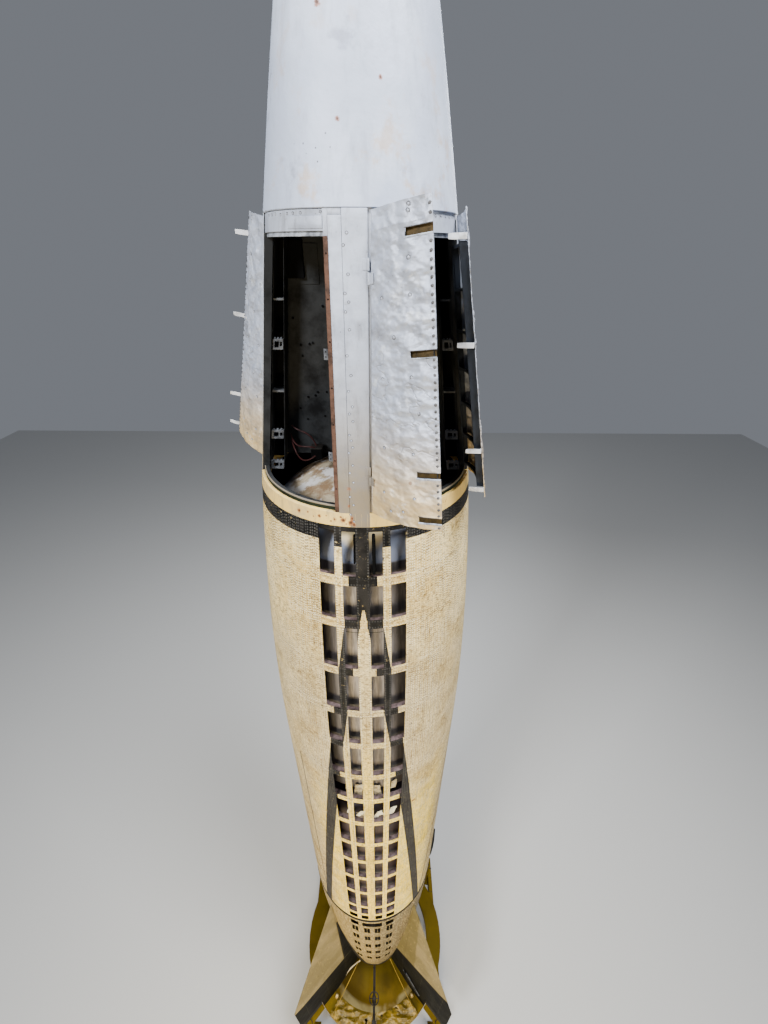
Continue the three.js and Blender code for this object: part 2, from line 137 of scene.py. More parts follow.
# One material and its nodes; its colour is built up layer by layer
class Bench:
    def __init__(self, name):
        self.material = bpy.data.materials.new(name)
        self.material.use_nodes = True
        self.tree = self.material.node_tree
        self.surface = self.tree.nodes["Principled BSDF"]
        self.place = self.node("ShaderNodeTexCoord", {}, {}, "Object")
        parts = self.tree.nodes.new("ShaderNodeSeparateXYZ")
        self.tree.links.new(self.place.socket, parts.inputs[0])
        self.x, self.y, self.z = (Value(self, parts.outputs[i]) for i in range(3))

    def node(self, kind, settings, values, output=0):
        made = self.tree.nodes.new(kind)
        for key, setting in settings.items():
            setattr(made, key, setting)
        for key, value in values.items():
            if isinstance(value, Value):
                self.tree.links.new(value.socket, made.inputs[key])
            else:
                made.inputs[key].default_value = value
        return Value(self, made.outputs[output])

    def grain(self, scale, detail=3, roughness=0.55, stretch=None, shift=(0, 0, 0)):
        place = self.place
        if stretch or any(shift):
            spread = {"Vector": place, "Scale": stretch or (1, 1, 1), "Location": shift}
            place = self.node("ShaderNodeMapping", {}, spread)
        values = {"Vector": place, "Scale": scale, "Detail": detail, "Roughness": roughness}
        return self.node("ShaderNodeTexNoise", {}, values)

    def cells(self, scale, stretch=None):
        place = self.place
        if stretch:
            place = self.node("ShaderNodeMapping", {}, {"Vector": place, "Scale": stretch})
        return self.node("ShaderNodeTexVoronoi", {}, {"Vector": place, "Scale": scale}, "Distance")

    def between(self, value, low, high):
        values = {"Value": value, "From Min": low, "From Max": high}
        return self.node("ShaderNodeMapRange", {"interpolation_type": "SMOOTHSTEP"}, values)

    def patches(self, low, high, *grain):
        return self.between(self.grain(*grain), low, high)

    def spots(self, low, high, *cells):
        return self.between(self.cells(*cells), low, high)

    def fade(self, top, bottom):  # from one height over the fins to another
        return self.between(self.z, floorToFins + top, floorToFins + bottom)

    def reach(self):  # distance from the axis
        return (self.x * self.x + self.y * self.y) ** 0.5

    def mix(self, first, second, share):
        values = {0: share}
        for socket, colour in ((6, first), (7, second)):
            values[socket] = colour if isinstance(colour, Value) else (*colour, 1)
        return self.node("ShaderNodeMix", {"data_type": "RGBA"}, values, 2)

    def lay(self, colour, share):
        self.colour = self.mix(self.colour, colour, share)

    def bump(self, height, depth, before=None):
        values = {"Height": height, "Distance": depth, "Strength": 1.0}
        if before:
            values["Normal"] = before
        return self.node("ShaderNodeBump", {}, values)

    def finish(self, roughness, metallic, specular, normal):
        sockets = {"Base Color": self.colour, "Roughness": roughness, "Normal": normal}
        for name, value in sockets.items():
            self.tree.links.new(value.socket, self.surface.inputs[name])
        self.surface.inputs["Metallic"].default_value = metallic
        self.surface.inputs["Specular IOR Level"].default_value = specular
        return self.material


def tone(red, green, blue):  # a colour as seen on screen, 0 to 255, made linear
    return tuple((c / 255 / 12.92 if c < 10 else ((c / 255 + 0.055) / 1.055) ** 2.4)
                 for c in (red, green, blue))


# Paints and metals
paintTones = {
    "grey": tone(176, 185, 204),
    "greyDirt": tone(112, 115, 126),
    "cream": tone(212, 180, 106),
    "creamDeep": tone(146, 118, 62),
    "creamPale": tone(238, 212, 148),
    "anthracite": tone(11, 11, 11),
    "anthraciteWorn": tone(66, 62, 54),
    "rust": tone(124, 66, 30),
    "rustCore": tone(58, 34, 24),
    "speck": tone(54, 42, 30),
}
rustSpots = {  # degrees round the body, height over the fins, size
    "nose": [(-9, 12.30, 0.016), (-21, 12.62, 0.02), (14, 12.42, 0.012)],
    "bay": [(-5.7, 10.833, 0.02), (-8.2, 10.655, 0.030), (-5.2, 10.645, 0.030), (-3.4, 10.632, 0.016),
            (-12.5, 10.655, 0.020), (-20, 10.66, 0.018), (-31, 10.66, 0.02), (-5.9, 10.74, 0.014),
            (-3.5, 10.99, 0.010), (-26, 10.668, 0.012), (-9.5, 10.672, 0.012), (-7.1, 10.634, 0.014),
            (-14.2, 10.642, 0.009), (-16.5, 10.668, 0.010), (-23, 10.65, 0.008), (-4.2, 10.668, 0.014)],
    "skin": [(-11.3, 9.515, 0.012), (17, 8.2, 0.014), (-2, 8.64, 0.014), (30, 7.55, 0.035),
             (14.5, 8.93, 0.012), (-22, 8.95, 0.014), (28, 9.0, 0.014), (-28, 8.3, 0.012)],
    "tail": [(0, 3.70, 0.02), (0.5, 3.2, 0.02), (-1, 2.6, 0.03), (1, 1.9, 0.03), (-17, 3.4, 0.03),
             (16, 2.9, 0.03)],
}


def near(bench, spots):  # ragged patches round places of (degrees, height over the fins, size)
    mask = None
    ragged = bench.grain(42, 6, 0.72) * 2.4 - 0.75
    for degrees, height, size in spots:
        place = aroundPoint(degrees, bodyRadiusAt(floorToFins + height), floorToFins + height)
        away = bench.node("ShaderNodeVectorMath", {"operation": "DISTANCE"}, {0: bench.place, 1: place},
                          "Value")
        patch = bench.between(away / size + ragged, 1.25, 0.75)
        mask = patch if mask is None else mask.either(patch)
    return mask


def rusted(bench, spots, share=0.85):  # brown patches with a dark core at given places
    bench.lay(bench.mix(paintTones["rust"], tone(168, 104, 58), bench.grain(60)), near(bench, spots) * share)
    cores = [(degrees, height, size * 0.5) for degrees, height, size in spots]
    bench.lay(paintTones["rustCore"], near(bench, cores) * share)


def greyPaint():
    bench = Bench("greyPaint")
    streaks = bench.grain(3.2, 6, 0.62, (6, 6, 1))
    clouds = bench.grain(2.6, 5, 0.6)
    bench.colour = bench.mix(paintTones["grey"], tone(208, 217, 234),
                             bench.patches(0.42, 0.62, 1.3, 3) * 0.55)
    bench.lay(paintTones["greyDirt"], bench.between(streaks * 0.55 + clouds * 0.45, 0.48, 0.74) * 0.5)
    bench.lay(tone(128, 130, 146), bench.patches(0.58, 0.72, 7, 5, 0.65, None, (4, 1, 2)) * 0.5)
    nearJoint = bench.between(bench.z, bayTop["height"] + 0.9, bayTop["height"])
    specks = bench.spots(0.13, 0.05, 30) * bench.patches(0.55, 0.64, 4, 4)
    bench.lay(paintTones["speck"], specks * (nearJoint * 0.6 + 0.3))
    warm = bench.patches(0.56, 0.70, 6, 5, 0.7, None, (3, 7, 1)) * nearJoint
    bench.lay(tone(186, 160, 130), warm * 0.6)
    rusted(bench, rustSpots["nose"], 0.8)
    normal = bench.bump(bench.grain(18, 4) * 0.35 + bench.grain(3.4, 2) * 1.4, 0.007)
    return bench.finish(bench.grain(8) * 0.25 + 0.42, 0.08, 0.3, normal)


def bayPaint(name, ring=False):
    bench = Bench(name)
    bench.colour = bench.mix(tone(164, 170, 184), tone(182, 188, 200), bench.grain(4))
    if ring:
        bench.lay(tone(232, 196, 112), bench.fade(10.74, 10.70))
    else:
        bench.lay(tone(124, 110, 84), bench.fade(11.6, 10.75) * 0.95)
    clouds = bench.grain(6, 6, 0.65)
    bench.lay(paintTones["greyDirt"], bench.between(clouds, 0.44, 0.72) * 0.45)
    bench.lay(tone(104, 100, 98), bench.patches(0.50, 0.74, 3.5, 6, 0.68, (6, 6, 1.0)) * 0.5)
    bench.lay(tone(92, 84, 74), bench.patches(0.60, 0.70, 30, 6, 0.75, (1, 1, 2)) * 0.35)
    specks = bench.spots(0.14, 0.05, 40) * bench.patches(0.52, 0.62, 6)
    bench.lay(paintTones["speck"], specks * 0.6)
    nearBase = bench.between(bench.z, bayBase["height"] + 0.30, bayBase["height"] + 0.02)
    rust = bench.patches(0.62, 0.72, 15, 6, 0.75, (1, 1, 0.7), (1, 5, 2))
    bench.lay(paintTones["rust"], rust * nearBase * 0.75)
    rusted(bench, rustSpots["bay"])
    normal = bench.bump(bench.grain(20, 4) * 0.5 + bench.grain(5, 2), 0.006)
    return bench.finish(bench.grain(9) * 0.25 + 0.42, 0.1, 0.3, normal)


def doorMetal():
    bench = Bench("doorMetal")
    # warmer tan towards the bottom: painted warm light from below
    bench.colour = bench.mix(tone(170, 176, 190), tone(206, 176, 118), bench.fade(11.30, 10.74) * 0.9)
    bench.lay(tone(104, 102, 104), bench.patches(0.46, 0.70, 7, 7, 0.68, (1, 1, 1.7)) * 0.5)
    bench.lay(tone(220, 222, 224), bench.patches(0.56, 0.70, 12, 6, 0.7, None, (4, 4, 4)) * 0.5)
    bench.lay(tone(86, 82, 78), bench.patches(0.60, 0.72, 26, 5, 0.75, (1, 1, 3.5), (6, 2, 0)) * 0.4)
    crease = bench.between((bench.grain(5.5, 3, 0.5, (1, 1, 1.6), (2, 7, 3)) - 0.5).size(), 0.020, 0.0)
    crease = crease * bench.between((bench.z - floorToFins - 11.28).size(), 0.34, 0.12)
    # darker along the creases: painted shade
    bench.lay(tone(120, 114, 108), crease * 0.16)
    spots = bench.spots(0.065, 0.040, 5.2) * bench.patches(0.45, 0.55, 4)
    bench.lay(tone(108, 74, 50), spots * 0.7)
    specks = bench.spots(0.15, 0.05, 44) * bench.patches(0.5, 0.6, 8)
    bench.lay(paintTones["speck"], specks * 0.5)
    normal = bench.bump(0 - crease, 0.0026)
    normal = bench.bump(bench.grain(28, 4, 0.6) * 0.22 + bench.grain(10, 2, 0.5, (1, 1, 1.4)) * 1.7, 0.026,
                        normal)
    return bench.finish(bench.grain(12) * 0.22 + 0.42, 0.2, 0.35, normal)


# Cream skin with its painted stripes: everything is drawn from the angle round the body and the height
windowBars = [10.260, 9.935, 9.510, 9.075, 8.670, 8.200, 7.780, 7.325, 6.845, 6.400, 5.920, 5.450, 4.945,
              4.655]
stripes = {
    "start": 10.38, "spread": 10.5, "power": 0.82, "halfWidth": 3.7,
    "ringLow": 10.520, "tabLow": 10.487, "tabAngle": 13.05, "spineLow": 10.05, "spineAngle": 3.3,
    "spineNarrows": (10.25, 10.05),
    "weldRows": [2.55, 9.95, 12.45, 21.3, 22.5], "weldsInside": 23.3, "metresADegree": 0.0144,
    "barHalf": 0.034, "barTab": 6.7, "paintedBars": 8, "lowBand": 4.452,
    "flankTop": 8.1, "flankFoot": 4.32, "flanks": [(-45.5, -0.6, 0.45), (50.0, 5.2, 0.7)],
}


def turnOf(bench):  # degrees round the body, 0 at the front
    return bench.node("ShaderNodeMath", {"operation": "ARCTAN2"},
                      {0: bench.x, 1: 0 - bench.y}) * (180 / math.pi)


def nearest(value, places):  # how far a value is from the nearest of some places
    away = (value - places[0]).size()
    for place in places[1:]:
        away = away.lower((value - place).size())
    return away


def weldDots(bench, height, angle, weldPitch, stringerPitch, frames):
    column = (angle / (stringerPitch / 2)).floor()
    shift = ((column * 12.9898).sine() * 437.585).part()  # each row of welds starts at a height of its own
    up = (height + shift * weldPitch + (bench.grain(22) - 0.5) * weldPitch * 0.9).repeat(weldPitch)
    side = (angle.repeat(stringerPitch) - 0.55) * stripes["metresADegree"]
    if frames:  # along the edges of the stringers between the windows the rows have their own places
        inside = angle.size() < stripes["weldsInside"]
        along = nearest(angle.size(), stripes["weldRows"]) * stripes["metresADegree"]
        side = side * (1 - inside) + along * inside
    side = side + (bench.grain(26, 2, 0.5, None, (5, 1, 1)) - 0.5) * 0.005
    dots = bench.between((up * up + side * side) ** 0.5, 0.0078, 0.0036)
    if frames:
        row = (nearest(height, frames) - 0.024).size()
        around = (angle + (bench.grain(30) - 0.5) * 0.8).repeat(1.35) * stripes["metresADegree"]
        dots = dots.either(bench.between((row * row + around * around) ** 0.5, 0.0068, 0.0030))
    return dots


def creamSkin(name, spots, weldPitch=0.019, stringerPitch=2.7, striped=True, streaky=0.55):
    bench = Bench(name)
    height = bench.z - floorToFins
    angle = turnOf(bench)
    off = angle.size()
    frames = windowBars if striped else None
    bench.colour = bench.mix(paintTones["cream"], paintTones["creamPale"],
                             bench.patches(0.40, 0.62, 1.9, 6, 0.62))
    # darker and yellower further down: painted falloff of the light from above and painted warm light from
    # below
    bench.lay(tone(178, 158, 116), bench.fade(10.1, 9.2) * 0.7)
    bench.lay(tone(150, 122, 44), bench.fade(8.2, 5.0) * 0.85)
    if striped:
        # painted warm light from below on the lower front
        paintedWarmGlow = bench.between(height, 8.3, 7.0) * bench.between(angle, 66, 46) * bench.between(angle, -44, -26)
        bench.lay(tone(255, 220, 44), paintedWarmGlow * 0.94)
        # painted yellow light on the middle of the front
        centre = bench.between(height, 9.2, 7.6) * bench.between(off, 24, 16)
        bench.lay(tone(255, 218, 74), centre * 0.85)
        # painted shade on the flanks lower down, where the light falls off
        sides = bench.between(height, 8.4, 6.8) * bench.between(off, 42, 64)
        bench.lay(tone(122, 98, 38), sides * 0.7)
    else:
        bench.lay(tone(108, 92, 40), 0.78)
        # darker on the right front quarter of the tail: painted shade
        bench.lay(tone(44, 38, 20), bench.between(angle, -8, 14) * bench.between(angle, 92, 70) * 0.88)
    bench.lay(paintTones["creamDeep"], bench.patches(0.46, 0.70, 2.6, 7, 0.66, (4, 4, 0.6)) * streaky)
    fine = bench.grain(34, 6, 0.8, (1, 1, 1.4))
    bench.lay(tone(104, 78, 40), bench.between(fine, 0.50, 0.58) * 0.72)
    bench.lay(tone(246, 226, 168), bench.patches(0.51, 0.60, 40, 5, 0.8, (1, 1, 1.4), (2, 2, 5)) * 0.6)
    folds = (angle + (bench.grain(3, 2) - 0.5) * 1.5).repeat(10.8)
    bench.lay(tone(128, 102, 62), bench.between(folds, 0.42, 0.0) * bench.patches(0.40, 0.60, 2.2, 3) * 0.5)
    panels = (height.repeat(3.1) < 0.0016).either((angle.repeat(60.0) - 22.8).size() < 0.09)
    bench.lay(tone(112, 90, 54), panels * 0.55)

    welds = weldDots(bench, height, angle, weldPitch, stringerPitch, frames)
    shown = bench.patches(0.34, 0.58, 4.4, 4)
    if frames:
        shown = shown.either((off < 21.6) * (off > 9.0) * 0.8)
    # dark dots set between the weld dots: painted shadow of the weld dimples, shown in patches
    weldShadows = weldDots(bench, height + weldPitch * 0.47, angle + 0.12, weldPitch, stringerPitch,
                     frames) * (1 - welds)
    weldShadowPatches = bench.patches(0.38, 0.60, 5, 5, 0.65, None, (3, 3, 8))
    bench.lay(tone(88, 66, 38), weldShadows * weldShadowPatches * (0.8 if striped else 0.3))
    bench.lay(tone(240, 228, 192), welds * shown * (0.75 if striped else 0.3))
    specks = bench.spots(0.26, 0.10, 40) * bench.patches(0.44, 0.56, 3.1, 5, 0.65)
    bench.lay(paintTones["speck"], specks * 0.8)
    nicks = bench.spots(0.13, 0.06, 17, (1, 1, 0.5)) * bench.patches(0.50, 0.60, 2.3, 4, 0.6, None, (6, 1, 2))
    bench.lay(tone(40, 28, 18), nicks * 0.9)
    rust = bench.patches(0.70, 0.76, 7.5, 7, 0.8, None, (2, 9, 4))
    bench.lay(paintTones["rust"], rust * 0.6)
    rusted(bench, spots)

    if striped:
        stepped = height
        for barHeight in windowBars[: stripes["paintedBars"]]:  # the paint crosses a frame squarely
            stepped = stepped + ((height - barHeight).size() < stripes["barHalf"]) * (barHeight - height)
        down = (stripes["start"] - stepped).either(0.0)
        centre = down ** stripes["power"] * stripes["spread"]
        wander = (bench.grain(18, 4) - 0.5) * 0.45
        painted = ((off + wander - centre).size() < stripes["halfWidth"]) * (height < stripes["start"])
        ringed = height + wander * 0.01 > stripes["ringLow"]
        tabs = (height > stripes["tabLow"]) * (off < stripes["tabAngle"])
        spineHalf = stripes["spineAngle"] - bench.between(height, *stripes["spineNarrows"])
        spine = (height > stripes["spineLow"]) * (off < spineHalf)
        barTab = ((height - windowBars[0]).size() < stripes["barHalf"]) * (off < stripes["barTab"])
        dark = painted.either(ringed).either(tabs).either(spine).either(barTab)
        dark = dark.either(height < stripes["lowBand"])
        for foot, slope, half in stripes["flanks"]:
            line = (angle - foot - (height - stripes["flankFoot"]) * slope).size() < half
            dark = dark.either(line * (height < stripes["flankTop"]))
        worn = bench.patches(0.56, 0.66, 46, 6, 0.78)
        coat = bench.mix(paintTones["anthracite"], tone(34, 32, 30), bench.patches(0.4, 0.65, 9, 5))
        # the dark paint gets lighter and warmer lower down: painted warm light from below
        coat = bench.mix(coat, tone(44, 38, 28), bench.fade(9.0, 6.0) * 0.5)
        coat = bench.mix(coat, paintTones["anthraciteWorn"], worn * 0.35)
        coat = bench.mix(coat, tone(140, 130, 108), bench.spots(0.18, 0.08, 70) * worn * 0.7)
        coat = bench.mix(coat, tone(92, 90, 86), welds * shown * 0.5)
        chips = bench.patches(0.61, 0.66, 30, 6, 0.8, None, (7, 1, 3))
        bench.lay(coat, dark * (1 - chips * 0.6))
    else:
        coat = bench.mix(paintTones["anthracite"], tone(46, 42, 34), bench.patches(0.35, 0.68, 6, 6, 0.7))
        coat = bench.mix(coat, tone(92, 86, 74), bench.between(fine, 0.62, 0.70) * 0.3)
        bench.lay(coat, tailSkirt(height, angle, off))
    normal = bench.bump(0 - welds, 0.0022)
    normal = bench.bump(bench.grain(24, 5, 0.6) * 0.4 + bench.grain(4.5, 2) * 1.2, 0.005, normal)
    return bench.finish(bench.grain(7) * 0.22 + 0.52, 0.0, 0.12, normal)


def finSkin():  # calm olive cream, dark below a line and at the left front fin's root
    bench = Bench("creamFin")
    height = bench.z - floorToFins
    reach = bench.reach()
    bench.colour = bench.mix(tone(114, 103, 70), tone(134, 121, 86), bench.patches(0.42, 0.60, 1.5, 4))
    shaded = (bench.x > 0) * bench.between(reach + height * 0.04 + (bench.grain(5) - 0.5) * 0.06, 1.11, 1.09)
    bench.lay(tone(94, 84, 46), shaded * 0.75)
    bench.lay(tone(176, 158, 96), bench.patches(0.56, 0.66, 9, 6, 0.7, (3, 3, 1), (4, 2, 1)) * 0.4)
    bench.lay(tone(84, 70, 34), bench.patches(0.55, 0.68, 11, 6, 0.75, (2, 2, 1)) * 0.45)
    rows = height.repeat(0.42).lower(reach.repeat(0.40))
    dots = bench.between((rows * rows + (height + reach).repeat(0.036) ** 2.0) ** 0.5, 0.0065, 0.0035)
    seams = ((reach - 0.82).size() < 0.003).either(height.repeat(1.9) < 0.002)
    bench.lay(tone(78, 64, 34), dots.either(seams) * 0.55)
    specks = bench.spots(0.16, 0.06, 40) * bench.patches(0.5, 0.6, 4)
    bench.lay(paintTones["speck"], specks * 0.5)
    edge = (bench.x > 0) * ((reach - 0.8) * 0.24 + 0.16) + 1.48
    rootStrip = (reach < 0.815) * (height < 3.33) * (bench.x < 0) * (bench.y < 0)
    coat = bench.mix(tone(6, 6, 4), tone(20, 19, 13), bench.patches(0.40, 0.62, 3.2, 4, 0.6))
    coat = bench.mix(coat, tone(88, 84, 70), bench.patches(0.62, 0.70, 34, 6, 0.8) * 0.35)
    coat = bench.mix(coat, tone(96, 92, 78), dots.either((height - 0.30).size() < 0.003) * 0.5)
    rim = ((height - edge).size() < 0.010) * bench.patches(0.4, 0.5, 20, 4)
    bench.lay(coat, (height < edge).either(rootStrip))
    bench.lay(tone(120, 110, 84), rim * 0.5)
    normal = bench.bump(bench.grain(3.4, 2) * 1.2 - dots * 0.3, 0.005)
    return bench.finish(bench.grain(7) * 0.2 + 0.55, 0.0, 0.05, normal)


def tailSkirt(height, angle, off):  # where the tail is dark: a skirt that climbs towards the fins
    skirt = (off.lower(45.0) / 45) ** 2 * 0.75 + 0.66
    climb = 3.27 - (angle + 45).size() * 0.087
    return (height < skirt).either(height < climb).either(height > 4.362)


def tankMetal():
    bench = Bench("tankMetal")
    height = bench.z - floorToFins
    off = turnOf(bench).size()
    brushed = bench.grain(8, 6, 0.6, (6, 6, 0.5))
    bench.colour = bench.mix(tone(112, 106, 102), tone(146, 138, 132), bench.between(brushed, 0.38, 0.62))
    bench.lay(tone(72, 62, 60), bench.patches(0.48, 0.70, 2.6, 6, 0.65) * 0.4)
    shade = bench.between(off, 11.0, 19.5) * 0.85  # the tank turns away into the dark behind the skin
    above = None
    for barHeight in windowBars:
        over = height - barHeight
        over = over + (over < -0.02) * 10
        above = over if above is None else above.lower(over)
    shade = shade.either(bench.between(above, 0.15, 0.05) * 0.85)
    top = bench.between(height, 10.322, 10.338)
    cloud = height - off * 0.006 + (bench.grain(3.2, 3, 0.5, (1, 1, 0.6), (1, 2, 0)) - 0.5) * 0.12
    reflected = bench.mix(tone(112, 118, 134), tone(204, 184, 140), bench.between(cloud, 10.37, 10.43))
    bench.lay(reflected, top)
    bench.lay(tone(18, 15, 17), shade * (1 - top))
    lower = bench.between(height, 8.3, 6.9)
    bench.lay(tone(44, 28, 34), lower * 0.75)
    line = (height - 9.80).size() < 0.0025
    bench.lay(tone(20, 18, 18), line * (off < 10.0) * 0.9)
    # the dome's top: tan and white streaks with bluish towards its rim, partly painted light falling in
    # through the bay and a painted bluish reflection
    dome = bench.between(height, 10.50, 10.56)
    reach = bench.reach()
    litStreakedDome = bench.mix(tone(200, 184, 156), tone(150, 122, 92),
                         bench.patches(0.42, 0.6, 7, 6, 0.7, (1, 1, 2)))
    litStreakedDome = bench.mix(litStreakedDome, tone(230, 226, 222), bench.patches(0.50, 0.58, 5, 5, 0.7, None, (8, 3, 3)))
    litStreakedDome = bench.mix(litStreakedDome, tone(150, 158, 180), bench.between(reach, 0.50, 0.60) * 0.8)
    bench.lay(litStreakedDome, dome)
    return bench.finish(bench.grain(6) * 0.2 + 0.42, 0.2, 0.3, bench.bump(brushed, 0.002))


def plainCoat(name, colour, dirt, roughness, metallic, scale, specular=0.35):
    bench = Bench(name)
    bench.colour = bench.mix(tone(*colour), tone(*dirt), bench.patches(0.42, 0.70, scale, 6, 0.65))
    bench.lay(tone(*dirt), bench.spots(0.14, 0.04, scale * 6) * bench.patches(0.5, 0.62, scale))
    normal = bench.bump(bench.grain(scale * 3, 4), 0.003)
    return bench.finish(bench.grain(scale * 1.5) * 0.25 + roughness, metallic, specular, normal)


def stageGold(name, foil=False):  # olive-yellow paint; the crumpled cover gets painted highlights on its crests, the dome painted shade on the left of its foot and a painted highlight band at its front foot
    bench = Bench(name)
    reach = bench.reach()
    bench.colour = bench.mix(tone(96, 78, 0), tone(80, 64, 0), bench.patches(0.42, 0.66, 2.2, 3, 0.5))
    bench.lay(tone(112, 88, 0), bench.patches(0.5, 0.7, 5, 3, 0.5, None, (3, 1, 2)) * 0.3)
    bench.lay(tone(40, 32, 6), bench.patches(0.62, 0.70, 26, 6, 0.8, (1, 1, 0.4)) * 0.4)
    normal = bench.bump(bench.grain(7, 3), 0.002)
    if foil:
        crest = bench.between((bench.grain(7, 4, 0.6) - 0.5).size(), 0.03, 0.0)
        bench.lay(tone(134, 108, 24), bench.patches(0.42, 0.60, 6, 4, 0.6, (1, 1, 3), (1, 5, 2)) * 0.9)
        # paler on the crests of the folds: painted highlight
        bench.lay(tone(190, 168, 92), crest * bench.patches(0.46, 0.6, 5, 3) * 0.4)
        normal = bench.bump(bench.grain(12, 4, 0.6) * 0.8 + crest * 0.2, 0.014)
        return bench.finish(bench.grain(9) * 0.2 + 0.26, 0.1, 0.45, normal)
    cone = bench.between(reach, 0.62, 0.30) * bench.between(bench.z, 0.44, 0.56)
    bench.lay(tone(52, 40, 0), cone * 0.85)
    # darker on the left of the dome's foot: painted shade
    bench.lay(tone(58, 44, 0), bench.between(bench.x, -0.05, -0.35) * bench.between(reach, 1.0, 0.85) * 0.7)
    # a pale band round the front of the dome's foot: painted highlight
    foot = bench.between((reach - 0.95).size(), 0.09, 0.03) * bench.between(bench.z, 0.5, 0.42)
    foot = foot * bench.between(bench.y, -0.1, -0.8) * bench.patches(0.40, 0.56, 2.6, 3, 0.5, None, (4, 4, 1))
    bench.lay(tone(176, 170, 132), foot * 0.4)
    return bench.finish(bench.grain(6) * 0.15 + 0.5, 0.0, 0.08, normal)


plainCoats = {  # material, colour, dirt, roughness, metallic, scale of the dirt, specular
    "primer": ("brownPrimer", (84, 60, 48), (40, 30, 24), 0.6, 0.0, 16.0, 0.15),
    "ledge": ("frameLedge", (112, 94, 92), (48, 36, 34), 0.6, 0.0, 14.0, 0.2),
    "inner": ("darkInside", (42, 43, 44), (18, 18, 18), 0.7, 0.0, 5.0, 0.08),
    "black": ("blackInside", (10, 10, 11), (5, 5, 5), 0.8, 0.0, 5.0, 0.05),
    "bracket": ("paleBracket", (88, 90, 94), (40, 40, 42), 0.55, 0.0, 14.0, 0.15),
    "anthracite": ("anthraciteBand", (20, 20, 19), (54, 50, 42), 0.6, 0.0, 14.0, 0.1),
    "steel": ("darkSteel", (46, 43, 40), (20, 18, 16), 0.42, 0.4, 7.0, 0.2),
    "graphite": ("graphite", (30, 30, 33), (14, 14, 16), 0.5, 0.0, 9.0, 0.15),
    "stay": ("goldStay", (150, 124, 44), (84, 66, 12), 0.5, 0.1, 12.0, 0.2),
    "brass": ("brassFitting", (206, 180, 120), (120, 92, 30), 0.3, 0.6, 12.0),
    "lip": ("paleLip", (170, 176, 186), (84, 86, 92), 0.45, 0.1, 22.0),
    "grooveShade": ("darkGrooveShade", (36, 44, 30), (16, 20, 14), 0.6, 0.0, 12.0, 0.1),
    "hook": ("hookSteel", (216, 218, 222), (150, 148, 144), 0.4, 0.2, 12.0),
    "hinge": ("hingeSteel", (166, 171, 183), (136, 139, 148), 0.5, 0.1, 14.0),
    "leafInside": ("leafInside", (42, 47, 56), (18, 20, 24), 0.5, 0.1, 8.0, 0.2),
    # black, also used for the strips of painted shadow beside the middle stringer
    "rubberAndShade": ("blackRubberAndShade", (12, 12, 12), (6, 6, 6), 0.8, 0.0, 8.0, 0.05),
    # dark tone also used for the flat rims round rivet heads, which are painted shadow
    "dirt": ("dirtAndShadowRim", (92, 90, 90), (58, 56, 54), 0.7, 0.0, 14.0, 0.1),
    "slotBack": ("slotBack", (72, 56, 26), (24, 18, 10), 0.5, 0.2, 18.0, 0.2),
    "padding": ("tanPadding", (206, 192, 158), (140, 122, 88), 0.7, 0.0, 20.0, 0.15),
    "paper": ("palePaper", (252, 246, 220), (214, 200, 160), 0.7, 0.0, 20.0, 0.15),
    "wire": ("redWire", (58, 20, 18), (26, 12, 12), 0.5, 0.0, 14.0),
}
finishes = {key: plainCoat(*coat) for key, coat in plainCoats.items()}
finishes |= {
    "grey": greyPaint(),
    "bay": bayPaint("bayPaint"),
    "bayRing": bayPaint("bayRing", True),
    "door": doorMetal(),
    "skin": creamSkin("creamSkin", rustSpots["skin"]),
    "tailSkin": creamSkin("creamTail", rustSpots["tail"], 0.030, 5.0, False, 0.3),
    "fin": finSkin(),
    "tank": tankMetal(),
    "gold": stageGold("goldYellow"),
    "foil": stageGold("goldFoil", True),
}
print("finishes made")


# Modelling helpers
def nothingSelected():
    if bpy.context.object and bpy.context.object.mode != "OBJECT":
        bpy.ops.object.mode_set(mode="OBJECT")
    bpy.ops.object.select_all(action="DESELECT")


def only(piece):
    nothingSelected()
    piece.select_set(True)
    bpy.context.view_layer.objects.active = piece


def named(name, finish):
    piece = bpy.context.object
    piece.name = piece.data.name = name
    piece.data.materials.clear()
    piece.data.materials.append(finishes[finish])
    return piece


def applied(piece, kind, **settings):
    only(piece)
    modifier = piece.modifiers.new(kind.title(), kind)
    for key, value in settings.items():
        setattr(modifier, key, value)
    bpy.ops.object.modifier_apply(modifier=modifier.name)
    return piece


def bevelled(piece, edge, degrees=60, segments=2):
    settings = {"width": edge, "segments": segments, "limit_method": "ANGLE",
                "angle_limit": math.radians(degrees)}
    return applied(piece, "BEVEL", **settings)


def edited(piece, *steps):  # each step works on the whole mesh
    only(piece)
    bpy.ops.object.mode_set(mode="EDIT")
    for step in steps:
        bpy.ops.mesh.select_all(action="SELECT")
        step()
    bpy.ops.object.mode_set(mode="OBJECT")
    return piece


def facesOut():
    bpy.ops.mesh.normals_make_consistent(inside=False)


def upwards(place):
    return Vector((0, 0, 1))


def joined(pieces, name=None):
    only(pieces[0])
    for piece in pieces:
        piece.select_set(True)
    bpy.context.view_layer.objects.active = pieces[0]
    if len(pieces) > 1:
        bpy.ops.object.join()
    if name:
        pieces[0].name = pieces[0].data.name = name
    return pieces[0]


def copied(piece, move=None):
    twin = piece.copy()
    twin.data = piece.data.copy()
    bpy.context.collection.objects.link(twin)
    if move:
        twin.data.transform(move)
    return twin


def smooth(piece, degrees=30):
    only(piece)
    bpy.ops.object.shade_smooth_by_angle(angle=math.radians(degrees))
    return piece


